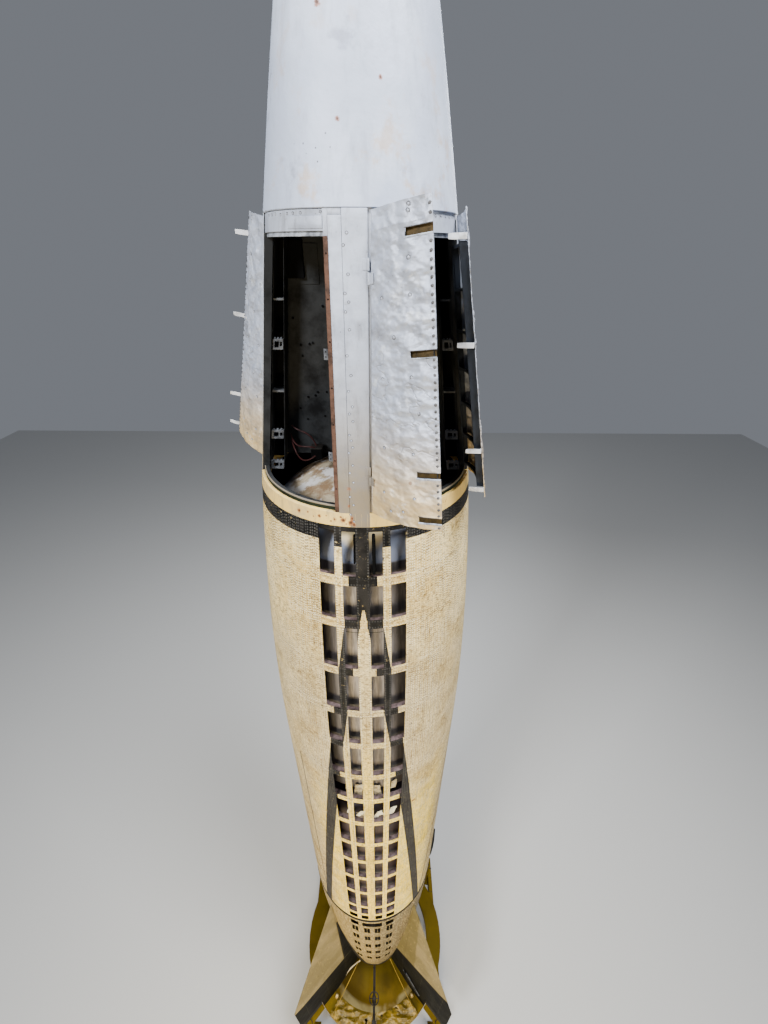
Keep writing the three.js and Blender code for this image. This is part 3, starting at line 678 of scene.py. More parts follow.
def spun(name, profile, finish, steps=96):  # a profile of (radius, height), drawn point by point and spun
    nothingSelected()
    bpy.ops.mesh.primitive_plane_add(size=0.1)
    piece = named(name, finish)
    bpy.ops.object.mode_set(mode="EDIT")
    bpy.ops.mesh.select_mode(type="VERT")
    bpy.ops.mesh.select_all(action="SELECT")
    bpy.ops.mesh.merge(type="CENTER")
    bpy.ops.transform.translate(value=(profile[0][0], 0, profile[0][1]))
    for (r0, z0), (r1, z1) in zip(profile, profile[1:]):
        bpy.ops.mesh.extrude_region_move(TRANSFORM_OT_translate={"value": (r1 - r0, 0, z1 - z0)})
    bpy.ops.mesh.select_all(action="SELECT")
    bpy.ops.mesh.spin(steps=steps, angle=2 * math.pi, center=(0, 0, 0), axis=(0, 0, 1))
    bpy.ops.mesh.select_all(action="SELECT")
    bpy.ops.mesh.remove_doubles(threshold=0.00002)
    bpy.ops.mesh.normals_make_consistent(inside=False)
    bpy.ops.object.mode_set(mode="OBJECT")
    return smooth(piece)


def bar(name, low, high, finish, edge=0.0, segments=2):  # a straight-sided bar between two corners
    nothingSelected()
    middle = [(a + b) / 2 for a, b in zip(low, high)]
    bpy.ops.mesh.primitive_cube_add(size=1, location=middle, scale=[b - a for a, b in zip(low, high)])
    piece = named(name, finish)
    bpy.ops.object.transform_apply(location=True, rotation=False, scale=True)
    if edge:
        bevelled(piece, edge, 30, segments)
    return piece


def rod(name, start, end, radius, finish, sides=16, edge=0.0):
    nothingSelected()
    start, end = Vector(start), Vector(end)
    bpy.ops.mesh.primitive_cylinder_add(vertices=sides, radius=radius, depth=(end - start).length)
    piece = named(name, finish)
    if edge:
        bevelled(piece, edge, 50)
    turn = (end - start).to_track_quat("Z", "Y").to_matrix().to_4x4()
    piece.data.transform(Matrix.Translation((start + end) / 2) @ turn)
    return smooth(piece, 40)


def flatSheet(name, left, right, low, high, columns, rows, finish):  # upright, facing the camera side
    nothingSelected()
    bpy.ops.mesh.primitive_grid_add(x_subdivisions=columns, y_subdivisions=rows, size=1)
    piece = named(name, finish)
    place = Matrix.Translation(((left + right) / 2, 0, (low + high) / 2))
    upright = Matrix.Rotation(math.pi / 2, 4, "X")
    piece.data.transform(place @ upright @ Matrix.Diagonal((right - left, high - low, 1, 1)))
    return piece


def thickened(piece, thickness):  # the sheet's back is drawn inwards
    move = {"value": (0, thickness, 0)}
    return edited(piece, lambda: bpy.ops.mesh.extrude_region_move(TRANSFORM_OT_translate=move), facesOut)


def linedWith(piece, finish, depth):  # the faces on the sheet's back get a finish of their own
    piece.data.materials.append(finishes[finish])
    for face in piece.data.polygons:
        if face.center.y > depth * 0.9:
            face.material_index = 1
    return piece


def holeCutters(holes, radius, depth=(-0.1, 0.2)):
    cutters = []
    for left, right, low, high in holes:
        cutter = bar("cutter", (left, depth[0], low), (right, depth[1], high), "rubberAndShade")
        bpy.ops.object.mode_set(mode="EDIT")
        bpy.ops.mesh.select_all(action="DESELECT")
        bpy.ops.object.mode_set(mode="OBJECT")
        for edge in cutter.data.edges:
            a, b = (cutter.data.vertices[i].co for i in edge.vertices)
            edge.select = abs(a.y - b.y) > 0.05
        bpy.ops.object.mode_set(mode="EDIT")
        bpy.ops.mesh.select_mode(type="EDGE")
        bpy.ops.mesh.bevel(offset=min(radius, (right - left) * 0.45, (high - low) * 0.45), segments=4)
        bpy.ops.object.mode_set(mode="OBJECT")
        cutters.append(cutter)
    return joined(cutters)


def cutThrough(piece, cutter):
    applied(piece, "BOOLEAN", operation="DIFFERENCE", solver="EXACT", object=cutter)
    bpy.data.objects.remove(cutter)
    return piece


def wrapped(piece, radiusAt, arm, start=0.0):  # bends a sheet round the axis: x is arc length, y depth
    for vertex in piece.data.vertices:
        across, depth, height = vertex.co
        radius = radiusAt(height)
        angle = start + across / arm
        radius -= depth
        vertex.co = (radius * math.sin(angle), -radius * math.cos(angle), height)
    return smooth(piece)


def rivets(name, places, outward, size, finish, flat=0.5):  # low domes with six sides, one for each (x, y, z)
    nothingSelected()
    bpy.ops.mesh.primitive_uv_sphere_add(segments=6, ring_count=4, radius=size)
    head = named(name, finish)
    head.data.transform(Matrix.Diagonal((1, 1, flat, 1)))
    heads = []
    for place in places:
        turn = outward(place).to_track_quat("Z", "Y").to_matrix().to_4x4()
        heads.append(copied(head, Matrix.Translation(place) @ turn))
    bpy.data.objects.remove(head)
    return smooth(joined(heads, name), 60)


def fromAxis(place):
    return Vector((place[0], place[1], 0)).normalized()


def onBody(piece, *nodes, body=root, slot=None):
    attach(piece, body)
    if nodes:
        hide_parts(*nodes)
    return piece


# Camera: fitted to the photograph from the rocket's stations
camera = {"place": (0.1103, -2.5247, floorToFins + 11.8899), "down": 32.521, "turn": -0.29, "roll": 0.415,
          "lens": 14.552}


def makeCamera():
    data = bpy.data.cameras.new("camera")
    data.lens = camera["lens"]
    data.sensor_width = 36
    data.clip_end = 200
    eye = bpy.data.objects.new("camera", data)
    bpy.context.collection.objects.link(eye)
    turn = Matrix.Rotation(math.radians(camera["turn"]), 4, "Z")
    tilt = Matrix.Rotation(math.radians(90 - camera["down"]), 4, "X")
    roll = Matrix.Rotation(math.radians(camera["roll"]), 4, "Z")
    eye.matrix_world = Matrix.Translation(camera["place"]) @ turn @ tilt @ roll
    bpy.context.scene.camera = eye


makeCamera()
print("camera placed")


# Nose
noseDetails = {"rings": 26, "fuzeLength": 0.09}


def makeNose():
    low, tip = stations["noseJoint"], stations["tip"] - noseDetails["fuzeLength"]
    steps = noseDetails["rings"]
    side = [(bodyRadiusAt(low + (tip - low) * i / steps), low + (tip - low) * i / steps)
            for i in range(steps + 1)]
    profile = [(0, low), (side[0][0] - 0.004, low), (side[0][0], low + 0.003), *side[1:], (0, tip)]
    nose = spun("noseSkin", profile, "grey")
    onBody(nose, "warhead_nose", slot="grey_paint")
    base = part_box("nose_fuze")
    wide = base[1][0]
    top = stations["tip"]
    cap = [(0, tip + 0.0005), (wide * 0.98, tip + 0.0005), (wide, tip + 0.003), (wide * 0.92, tip + 0.02),
           (wide * 0.80, tip + 0.04), (wide * 0.55, tip + 0.066), (wide * 0.3, tip + 0.083), (0, top)]
    onBody(spun("noseFuze", cap, "steel", 32), "nose_fuze", slot="dark_steel")


makeNose()
print("nose made")


# Control bay: end rings, strips, landing strip and what shows inside
bay = {
    "wall": 0.046, "recess": 0.016, "plate": 0.004,
    "sill": floorToFins + 10.697, "lip": floorToFins + 10.728, "header": floorToFins + 11.930,
    "plateTop": floorToFins + 12.003,
    "turns": [0, 90, 180, 190, 280], "left": -0.140, "landing": -0.1195, "seam": -0.062, "right": 0.045,
}


def bayBlock(name, left, right, low, high, front, back, finish, columns=3, rows=12, turn=0.0, edge=0.0):
    piece = flatSheet(name, left, right, low, high, columns, rows, finish)
    thickened(piece, back - front)
    if edge:
        bevelled(piece, edge)
    return bayBent(piece, front, turn)


def bayBent(piece, front=0.0, turn=0.0):  # across stays straight in plan, so the strips' edges stay parallel
    for vertex in piece.data.vertices:
        across, depth, height = vertex.co
        vertex.co = onBay(across, depth + front, height, turn)
    return smooth(piece, 35)


def onBay(across, depth, height, turn=0.0):
    radius = bayRadiusAt(height) - depth
    reach = math.sqrt(radius**2 - across**2)
    c, s = math.cos(math.radians(turn)), math.sin(math.radians(turn))
    return Vector((across * c + reach * s, across * s - reach * c, height))


def ringSection(name, low, high, front, back, finish, edge=0.0015, steps=128):
    corners = [(front, low), (front, high), (back, high), (back, low)]
    rounded = []
    for i, (depth, height) in enumerate(corners):
        before, after = corners[i - 1], corners[(i + 1) % 4]
        for other in (before, after):
            away = math.hypot(other[0] - depth, other[1] - height)
            rounded.append((depth + (other[0] - depth) * edge / away,
                            height + (other[1] - height) * edge / away))
    profile = [(bayRadiusAt(h) - d, h) for d, h in rounded]
    return spun(name, [*profile, profile[0]], finish, steps)


def makeBayFrame():
    low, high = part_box("bay_frame")[0][2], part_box("bay_frame")[1][2]
    sill, lip, header, plateTop = bay["sill"], bay["lip"], bay["header"], bay["plateTop"]
    wall, recess, thin, seam = bay["wall"], bay["recess"], bay["plate"], bay["seam"]
    rings = [
        ringSection("baseRing", low, sill, 0, wall, "bayRing"),
        # the sill's groove is dark green: painted shade in the recess
        ringSection("sillGroove", sill - 0.002, lip - 0.006, recess + 0.004, wall - 0.004, "grooveShade"),
        ringSection("sillLip", lip - 0.010, lip, recess, recess + 0.007, "bay", 0.002),
        ringSection("innerLip", sill - 0.004, lip - 0.002, recess + 0.0075, wall, "inner", 0.002),
        ringSection("header", header + 0.018, high, recess - 0.006, wall, "bay"),
        ringSection("headerLip", header, header + 0.019, recess + 0.004, recess + 0.008, "lip"),
        ringSection("headerInside", header, high - 0.002, wall - 0.003, wall, "inner"),
    ]
    onBody(joined(rings, "bayRings"), "bay_frame", slot="grey_paint")
    for turn in bay["turns"]:
        front = turn == 0
        start = bay["landing"] if front else bay["left"]
        parts = [
            bayBlock("stripCore", bay["left"] + 0.001, bay["right"] - 0.001, low, high, thin, wall, "inner",
                     4, 14, turn),
            bayBlock("stripPlate", seam + 0.0008, bay["right"], low, high, 0, thin + 0.001, "bay", 12, 40,
                     turn, 0.0008),
            bayBlock("narrowPlate", start, seam - 0.0008, low, plateTop, 0.0004, thin + 0.001, "bay", 6, 40,
                     turn, 0.0008),
        ]
        if front:
            parts.append(bayBlock("landingStrip", bay["left"] - 0.001, bay["landing"] - 0.001, sill + 0.004,
                                  header, -0.001, 0.006, "primer", 3, 30, turn, 0.0012))
        strip = joined(parts, f"strip{turn}")
        onBody(strip, "bay_frame", slot="grey_paint")


# What shows on and in the bay, as degrees round the body or metres across, and heights over the fins
bayFittings = {
    "strip": [(-4.8, 11.941), (-6.5, 11.898), (-4.4, 11.794), (-6.0, 11.723), (-4.3, 11.69), (-5.9, 11.652),
              (-4.1, 11.582), (-5.5, 11.474), (-3.7, 11.39), (-5.0, 11.319), (-3.3, 11.249), (-4.7, 11.215),
              (-3.2, 11.18), (-4.9, 11.113), (-4.1, 11.086), (-3.5, 11.052), (-5.3, 11.024), (-3.6, 10.96),
              (-5.0, 10.92), (-3.4, 10.87), (-5.1, 10.79), (-3.5, 10.745), (-5.0, 10.69), (-3.4, 10.65)],
    "header": [(-51.4, 12.012), (-46, 12.008), (-40.1, 12.01), (-35.6, 12.011), (-30.5, 12.011),
               (-22, 11.975), (-14.8, 12.009), (-18.5, 12.013), (-56, 12.01), (-61, 12.01), (20, 12.01),
               (26, 12.008), (31, 12.012), (36, 12.01), (41, 12.01), (46, 12.008), (51, 12.01), (56, 12.01),
               (61, 12.009), (66, 12.01)],
    "landingHoles": [11.87, 11.70, 11.53, 11.33, 11.16, 10.98, 10.83], "catches": [11.475, 10.994],
    "longeron": (0.517, 0.608), "lean": (0.117, 0.153), "leanFrom": 10.72, "depth": (-0.108, -0.014),
    "ribs": [11.664, 11.183], "brackets": [11.444, 10.921, 10.715],
    "hatch": (-0.402, -0.304, 11.752, 11.925), "hatchHole": (-0.329, -0.229, 11.726, 11.909), "face": -0.0125,
    "holes": [(-0.36, 11.42), (-0.31, 11.425), (-0.29, 11.43), (-0.355, 11.36), (-0.23, 11.15),
              (-0.345, 11.12), (-0.30, 11.13), (-0.285, 11.15), (-0.40, 11.05), (-0.36, 10.98),
              (-0.25, 11.0), (-0.20, 11.31), (-0.39, 11.56), (-0.22, 11.62)],
}


def atBay(degrees, depth, height):
    height += floorToFins
    return aroundPoint(degrees, bayRadiusAt(height) - depth, height)


def studs(name, places, outward, size, finish):  # rivet heads, each with a flat dark rim: painted shadow round the head
    shadowRims = rivets("shadowRims", places, outward, size * 1.45, "dirt", 0.10)
    return joined([rivets(name, places, outward, size, finish), shadowRims], name)


def cable(name, points, radius, finish):  # five points, drawn as a smooth round line
    nothingSelected()
    bpy.ops.curve.primitive_nurbs_path_add()
    line = bpy.context.object
    for point, place in zip(line.data.splines[0].points, points):
        point.co = (place[0], place[1], place[2] + floorToFins, 1)
    line.data.bevel_depth = radius
    line.data.bevel_resolution = 1
    line.data.resolution_u = 7
    line.data.use_fill_caps = True
    bpy.ops.object.convert(target="MESH")
    return smooth(named(name, finish), 60)


def makeLongeron(side):  # dark channel beside the bay's strip, with light ribs and hollow brackets
    inner, outer = bayFittings["longeron"]
    front, back = bayFittings["depth"]
    low, high = bay["lip"] + 0.004, bay["header"]
    spans = [sorted((side * a, side * b)) for a, b in ((inner, inner + 0.004), (outer - 0.004, outer),
                                                       (inner, outer))]
    parts = [bar("web", (left, front, low), (right, back, high), "inner", 0.001) for left, right in spans[:2]]
    left, right = spans[2]
    parts.append(bar("back", (left + 0.001, back - 0.004, low), (right - 0.001, back, high), "black", 0.001))
    for height in bayFittings["ribs"]:
        height += floorToFins
        for name, near, far, drop in (("rib", front + 0.006, back, 0.003),
                                      ("ribEdge", front + 0.004, front + 0.007, 0.008)):
            low, high = (left + 0.004, near, height - drop), (right - 0.004, far, height + 0.003)
            parts.append(bar(name, low, high, "bracket", 0.001))
    for height in bayFittings["brackets"]:
        height += floorToFins
        low = (left + 0.006, front - 0.014, height - 0.030)
        plate = bar("bracket", low, (right - 0.004, front + 0.012, height + 0.026), "bracket", 0.002)
        middle = (left + right) / 2
        holes = [(left + 0.020, right - 0.038, height - 0.018, height + 0.014),
                 (right - 0.030, right - 0.014, height - 0.012, height + 0.012)]
        parts.append(cutThrough(plate, holeCutters(holes, 0.004, (-0.4, 0.1))))
        tops = [Vector((middle + shift, front - 0.002, height + 0.027)) for shift in (-0.026, 0.0, 0.024)]
        parts.append(rivets("bolts", tops, upwards, 0.009, "bracket", 1.0))
    whole = joined(parts)
    nearLean, farLean = bayFittings["lean"]
    for vertex in whole.data.vertices:
        share = (abs(vertex.co.x) - inner) / (outer - inner)
        lean = nearLean + (farLean - nearLean) * share
        vertex.co.x -= side * lean * (vertex.co.z - floorToFins - bayFittings["leanFrom"])
    return whole


def makeBayFittings():
    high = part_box("bay_frame")[1][2]
    sill, header, plateTop = bay["sill"], bay["header"], bay["plateTop"]
    parts = []
    for turn in bay["turns"]:
        start = bay["landing"] if turn == 0 else bay["left"]
        parts.append(bayBlock("cap", start, bay["seam"] - 0.0008, plateTop + 0.0012, high - 0.0004, 0.0028,
                              0.040, "bay", 4, 2, turn, 0.0006))
        if turn in doorway["turns"].values():  # the strip that the A leaf's hinge is fixed to
            parts.append(bayBlock("hingeStrip", bay["right"] - 0.0006, 0.0575, sill + 0.002, header + 0.03,
                                  0.0085, 0.0115, "bay", 1, 12, turn))
    parts.append(bayBlock("landingTop", bay["left"], bay["landing"] + 0.001, header + 0.001, high - 0.0004,
                          0.0028, 0.040, "bay", 2, 4, 0, 0.0006))
    parts.append(bayBlock("patch", -0.300, bay["left"] - 0.002, floorToFins + 11.957, floorToFins + 12.001,
                          0.0072, 0.0102, "bay", 8, 2, 0, 0.0008))
    parts.append(studs("stripStuds", [atBay(d, 0, z) for d, z in bayFittings["strip"]], fromAxis, 0.0058,
                       "hinge"))
    parts.append(studs("headerStuds", [atBay(d, 0.0098, z) for d, z in bayFittings["header"]], fromAxis,
                       0.0052, "hinge"))
    # flat black discs stand in for the holes: painted shade
    holes = [onBay(-0.130, -0.0014, floorToFins + z) for z in bayFittings["landingHoles"]]
    parts.append(rivets("landingHoles", holes, fromAxis, 0.0042, "black", 0.15))
    for height in bayFittings["catches"]:
        height += floorToFins
        parts.append(bayBlock("catch", -0.163, -0.1418, height - 0.024, height + 0.024, 0.008, 0.011,
                              "bracket", 2, 2, 0, 0.001))
        # flat black discs stand in for the catch's holes: painted shade
        parts.append(rivets("catchHoles", [onBay(-0.153, 0.0078, height + a) for a in (-0.011, 0.011)],
                            fromAxis, 0.0038, "black", 0.2))
    onBody(joined(parts, "bayStrips"), "bay_frame", slot="grey_paint")
    inside = [makeLongeron(-1), makeLongeron(1)]
    face = bayFittings["face"]
    left, right, low, top = bayFittings["hatch"]
    inside.append(bar("hatch", (left, face - 0.018, floorToFins + low),
                      (right, face + 0.002, floorToFins + top), "black", 0.003))
    left, right, low, top = bayFittings["hatchHole"]
    inside.append(bar("hatchCover", (left, face - 0.001, floorToFins + low),
                      (right, -face, floorToFins + top), "inner", 0.0008))
    # flat black discs on the partition stand in for its bores: painted shade
    spots = [Vector((x, face - 0.0004, floorToFins + z)) for x, z in bayFittings["holes"]]
    inside.append(rivets("boreRims", spots, lambda p: Vector((0, -1, 0)), 0.0075, "black", 0.12))
    inside.append(bar("box", (-0.345, -0.105, floorToFins + 10.742), (-0.275, -0.03, floorToFins + 10.815),
                      "black", 0.004))
    inside.append(bar("boxLid", (-0.348, -0.108, floorToFins + 10.815),
                      (-0.272, -0.027, floorToFins + 10.821), "steel", 0.002))
    runs = [[(-0.47, -0.05, 10.90), (-0.44, -0.09, 10.78), (-0.38, -0.13, 10.86), (-0.32, -0.11, 10.84),
             (-0.29, -0.07, 10.79)],
            [(-0.47, -0.05, 10.86), (-0.43, -0.12, 10.75), (-0.40, -0.15, 10.73), (-0.34, -0.14, 10.75),
             (-0.30, -0.08, 10.78)],
            [(-0.46, -0.04, 10.95), (-0.41, -0.06, 10.90), (-0.36, -0.07, 10.93), (-0.33, -0.06, 10.88),
             (-0.31, -0.06, 10.81)]]
    inside += [cable("cable", points, 0.0045, "wire") for points in runs]
    onBody(joined(inside, "bayInside"), slot="grey_paint")


# Door leaves: dented sheet with slots or hooks, a ribbed frame inside, and hinge knuckles
doorway = {
    "split": 41.3, "gap": 0.003, "hingeA": 0.051, "hingeB": 0.146, "skin": 0.0025, "width": 0.40,
    "low": floorToFins + 10.704, "high": floorToFins + 12.018, "dented": floorToFins + 11.25,
    "frameLow": floorToFins + 10.760, "frameHigh": floorToFins + 11.898, "frameFront": 0.006,
    "frameBack": 0.042,
    "turns": {"front_right": 0, "back_right": 90, "back_left": 190},
    "open": {"door_front_right_a": 60, "door_front_right_b": 33, "door_back_left_b": 60},
    "latches": [11.914, 11.480, 10.965, 10.748], "slotHeight": 0.030, "slotLength": 0.115,
    "hookBend": {"door_front_right_b": 84, "door_back_right_b": 8, "door_back_left_b": -54},
    "hookLength": 0.080,
    "hingeOffset": 0.010, "knuckles": [10.880, 11.780], "knuckleLength": 0.046, "knuckleRadius": 0.0045,
    "knuckleShift": 0.052,
    "columns": 44, "rows": 150, "ribs": 6, "dents": 90,
}


class Leaf:
    def __init__(self, place, kind):
        self.place, self.kind = place, kind
        self.name = f"door_{place}_{kind}"
        self.turn = math.radians(doorway["turns"][place])
        self.opened = math.radians(doorway["open"].get(self.name, 0))
        across = 0.048 if kind == "a" else -0.143
        lowReach = math.sqrt(bayBase["radius"] ** 2 - across**2) + doorway["hingeOffset"]
        lean = (math.sqrt(bayBase["radius"] ** 2 - across**2) - math.sqrt(bayTop["radius"] ** 2 - across**2))
        lean /= bayTop["height"] - bayBase["height"]
        if kind == "a":
            self.pin = Vector((across, -lowReach, bayBase["height"]))
            self.axis = Vector((0, -lean, -1)).normalized()
        else:
            self.pin = Vector((lowReach, across, bayBase["height"]))
            self.axis = Vector((-lean, 0, 1)).normalized()

    def span(self, height):  # angles of the leaf's hinge edge and free edge
        radius = bayRadiusAt(height)
        split = math.radians(doorway["split"])
        gap = doorway["gap"] / radius
        if self.kind == "a":
            return math.asin(doorway["hingeA"] / radius), split - gap
        return math.pi / 2 - math.asin(doorway["hingeB"] / radius), split + gap

    def arc(self, height):
        hinge, free = self.span(height)
        return abs(free - hinge) * bayRadiusAt(height)

    def closedPoint(self, across, depth, height):  # across runs from the hinge edge to the free edge
        hinge, free = self.span(height)
        angle = hinge + (free - hinge) * across / doorway["width"]
        radius = bayRadiusAt(height) - depth
        return Vector((radius * math.sin(angle), -radius * math.cos(angle), height))

    def hung(self):  # from closed in the first doorway to its rest place
        swing = Matrix.Rotation(self.opened, 4, self.axis)
        opened = Matrix.Translation(self.pin) @ swing @ Matrix.Translation(-self.pin)
        return Matrix.Rotation(self.turn, 4, "Z") @ opened

    def bend(self, piece, front=0.0, shape=None, flip=True):
        move = self.hung()
        for vertex in piece.data.vertices:
            across, depth, height = vertex.co
            lift = shape(across, height) if shape else 0.0
            vertex.co = move @ self.closedPoint(across, depth + front - lift, height)
        if self.kind == "b" and flip:
            edited(piece, bpy.ops.mesh.flip_normals)
        return smooth(piece, 40)

    def block(self, name, left, right, low, high, front, back, finish, columns=8, rows=2, edge=0.0,
              shape=None):
        piece = flatSheet(name, left, right, low, high, columns, rows, finish)
        thickened(piece, back - front)
        if edge:
            bevelled(piece, edge)
        return self.bend(piece, front, shape)


# Dents: each crease is a tent-shaped fold with a sharp crest, and pillowed hollows lie between them
def dents(seed, torn):
    chance = random.Random(seed)
    folds = []
    for i in range(doorway["dents"]):
        x, z = chance.uniform(0, doorway["width"]), chance.uniform(doorway["low"], doorway["high"])
        near = math.exp(-(((z - doorway["dented"]) / 0.22) ** 2))
        angle = chance.gauss(0, 0.55) if chance.random() < 0.75 else chance.uniform(-1.5, 1.5)
        length = chance.uniform(0.04, 0.15) * (1 + 0.5 * near)
        width = chance.uniform(0.010, 0.035)
        tall = chance.choice((1, -1, -1)) * chance.uniform(0.0010, 0.0026) * (1 + 1.5 * near)
        folds.append((x, z, math.cos(angle), math.sin(angle), length, width, tall))

    def lift(across, height):
        total = 0.0
        for x, z, c, s, length, width, tall in folds:
            dx, dz = across - x, height - z
            if abs(dx) > 0.4 or abs(dz) > 0.4:
                continue
            off = abs(-s * dx + c * dz) / width
            if off < 1:
                along = (c * dx + s * dz) / length
                if abs(along) < 2:
                    total += tall * (1 - off) * math.exp(-along * along * 1.5)
        place = Vector((across * 10, height * 9, seed))
        soft = abs(noise.noise(place)) * 0.013 - 0.004 + noise.noise(place * 2.4) * 0.0026
        edge = min(1, across / 0.03, (doorway["width"] - across) / 0.03)
        raised = (total + soft) * max(0.15, edge)
        if torn:
            corner = max(0, 1 - across / 0.10) * max(0, 1 - (doorway["high"] - height) / 0.12)
            raised += abs(noise.noise(Vector((across * 40, height * 40, 3)))) * 0.008 * corner
        return 0.006 * math.tanh(raised / 0.006)

    return lift


def slotSpan(leaf, latch):
    height = floorToFins + latch
    share = doorway["slotLength"] / leaf.arc(height) * doorway["width"]
    return doorway["width"] - share, height - doorway["slotHeight"] / 2, height + doorway["slotHeight"] / 2


def slotCutters(leaf):
    holes = []
    for latch in doorway["latches"]:
        left, low, high = slotSpan(leaf, latch)
        holes.append((left, doorway["width"] + 0.02, low, high))
    if leaf.place == "front_right":  # a bite out of the top edge
        holes.append((0.362, 0.374, doorway["high"] - 0.014, doorway["high"] + 0.02))
    return holeCutters(holes, 0.003)


def makeHook(leaf, latch, number):
    height = floorToFins + latch
    length, tall = doorway["hookLength"], 0.024
    strap = bar("strap", (-length, -0.002, height - tall / 2), (0.0, 0.002, height + tall / 2), "hook")
    edited(strap, lambda: bpy.ops.mesh.subdivide(number_cuts=5))
    sway = (0.35, -0.2, 0.25, -0.3)[number]
    for vertex in strap.data.vertices:  # the strap is bowed, and its end is rounded off
        out = -vertex.co.x / length
        vertex.co.y -= 0.010 * out * out * sway * 2
        vertex.co.z = height + (vertex.co.z - height) * (1 - 0.35 * max(0, out - 0.75) * 4 * 0.5)
    bevelled(strap, 0.0008, 50)
    foot = bar("foot", (0.0, -0.0025, height - tall / 2), (0.055, 0.0025, height + tall / 2), "hook", 0.0008)
    radius = bayRadiusAt(height)
    bend = math.radians(doorway["hookBend"][leaf.name])
    strap.data.transform(Matrix.Translation((0, -radius + 0.004, 0)) @ Matrix.Rotation(-bend, 4, "Z"))
    foot.data.transform(Matrix.Translation((0.003, -radius + 0.0075, 0)))
    hook = joined([strap, foot])
    hook.data.transform(leaf.hung() @ Matrix.Rotation(math.radians(doorway["split"]), 4, "Z"))
    return hook


def makeKnuckle(leaf, latch, offset, side):  # barrel on the hinge line with its strap on one side
    height, length = floorToFins + latch + offset, doorway["knuckleLength"]
    up = leaf.axis * math.copysign(1, leaf.axis.z)
    centre = leaf.pin + up * ((height - bayBase["height"]) / up.z)
    half = up * (length / 2)
    barrel = rod("barrel", centre - half, centre + half, doorway["knuckleRadius"], "bay", 14, 0.0008)
    out = Vector((side, 0, 0)) if leaf.kind == "a" else Vector((0, side, 0))
    inward = Vector((0, 1, 0)) if leaf.kind == "a" else Vector((-1, 0, 0))
    strap = bar("strap", (0, -0.0012, -length / 2 + 0.002), (0.022, 0.0012, length / 2 - 0.002), "bay",
                0.0006)
    web = bar("web", (-0.0012, 0, -length / 2 + 0.002), (0.0012, 0.008, length / 2 - 0.002), "bay", 0.0004)
    web.data.transform(Matrix.Translation((0.0035, 0, 0)))
    strap.data.transform(Matrix.Translation((0.003, 0.0078, 0)))
    fitting = joined([strap, web])
    basis = Matrix((out, inward, up)).transposed().to_4x4()
    fitting.data.transform(Matrix.Translation(centre) @ basis)
    return joined([barrel, edited(fitting, facesOut)])


def makeLeaf(place, kind, seed):
    leaf = Leaf(place, kind)
    low, high, width = doorway["low"], doorway["high"], doorway["width"]
    sheet = flatSheet("sheet", 0, width, low, high, doorway["columns"], doorway["rows"], "door")
    thickened(sheet, doorway["skin"])
    if kind == "a":
        cutThrough(sheet, slotCutters(leaf))
    lift = dents(seed, leaf.name == "door_front_right_a")
    parts = [leaf.bend(sheet, 0.0, lift)]
    frameLow, frameHigh = doorway["frameLow"], doorway["frameHigh"]
    front, back = doorway["frameFront"], doorway["frameBack"]
    for left, right in ((0.012, 0.0145), (width - 0.0175, width - 0.015)):
        parts.append(leaf.block("rimWeb", left, right, frameLow, frameHigh, front, back, "leafInside", 1, 30))
    for left, right in ((0.012, 0.030), (width - 0.033, width - 0.015)):
        parts.append(leaf.block("rimFlange", left, right, frameLow, frameHigh, back - 0.002, back,
                                "leafInside", 2, 30))
    steps = doorway["ribs"]
    left, right = 0.014, width - 0.017
    for i in range(steps + 1):
        rib = frameLow + (frameHigh - frameLow - 0.002) * i / steps
        parts.append(leaf.block("rib", left, right, rib, rib + 0.002, front, back, "leafInside", 14, 1))
        lip = rib - 0.012 if i == steps else rib
        parts.append(leaf.block("ribFlange", left, right, lip, lip + 0.014, back - 0.002, back, "leafInside",
                                14, 1))
    if kind == "a":
        parts += slotDetails(leaf, lift, low, high)
    else:
        parts += [makeHook(leaf, latch, number) for number, latch in enumerate(doorway["latches"])]
    for latch in doorway["knuckles"]:
        knuckle = makeKnuckle(leaf, latch, 0.0, 1 if kind == "a" else -1)
        knuckle.data.transform(leaf.hung())
        parts.append(knuckle)
    parts.append(leafRivets(leaf, lift))
    panel = joined(parts, leaf.name.replace("door_", "leaf_"))
    onBody(panel, leaf.name, body=leaf.name, slot="grey_paint")


def slotDetails(leaf, lift, low, high):  # folded free edge, lap over the top, and the slots' lips
    width = doorway["width"]
    parts = []
    edges = [low] + [z for latch in reversed(doorway["latches"]) for z in slotSpan(leaf, latch)[1:]] + [high]
    for bottom, top in zip(edges[::2], edges[1::2]):  # the riveted band stops at each slot
        rows = max(2, round((top - bottom) / 0.012))
        parts.append(leaf.block("flange", width - 0.003, width - 0.0005, bottom + 0.002,
                                min(top - 0.002, bay["header"]), 0.001, 0.009, "lip", 1, rows))
        parts.append(leaf.block("edgeBand", width - 0.024, width - 0.0006, bottom + 0.002, top - 0.002,
                                -0.0012, 0.0004, "door", 3, rows, 0.0, lift))
    for latch in doorway["latches"]:
        left, bottom, top = slotSpan(leaf, latch)
        parts.append(leaf.block("slotLip", left - 0.003, width - 0.001, bottom - 0.0045, bottom + 0.0012,
                                -0.0022, 0.006, "lip", 6, 1, 0.0006, lift))
        parts.append(leaf.block("slotTop", left - 0.003, width - 0.001, top - 0.0008, top + 0.0018, -0.0012,
                                0.007, "dirt", 6, 1, 0.0, lift))
        if leaf.place == "front_right":
            parts.append(leaf.block("slotBack", left - 0.006, width - 0.004, bottom - 0.010, top + 0.010,
                                    0.0130, 0.0145, "slotBack", 6, 2))
    parts.append(leaf.block("lap", 0.055, width - 0.05, floorToFins + 11.944, floorToFins + 11.949, -0.0011,
                            0.001, "door", 24, 1, 0.0, lift))
    return parts


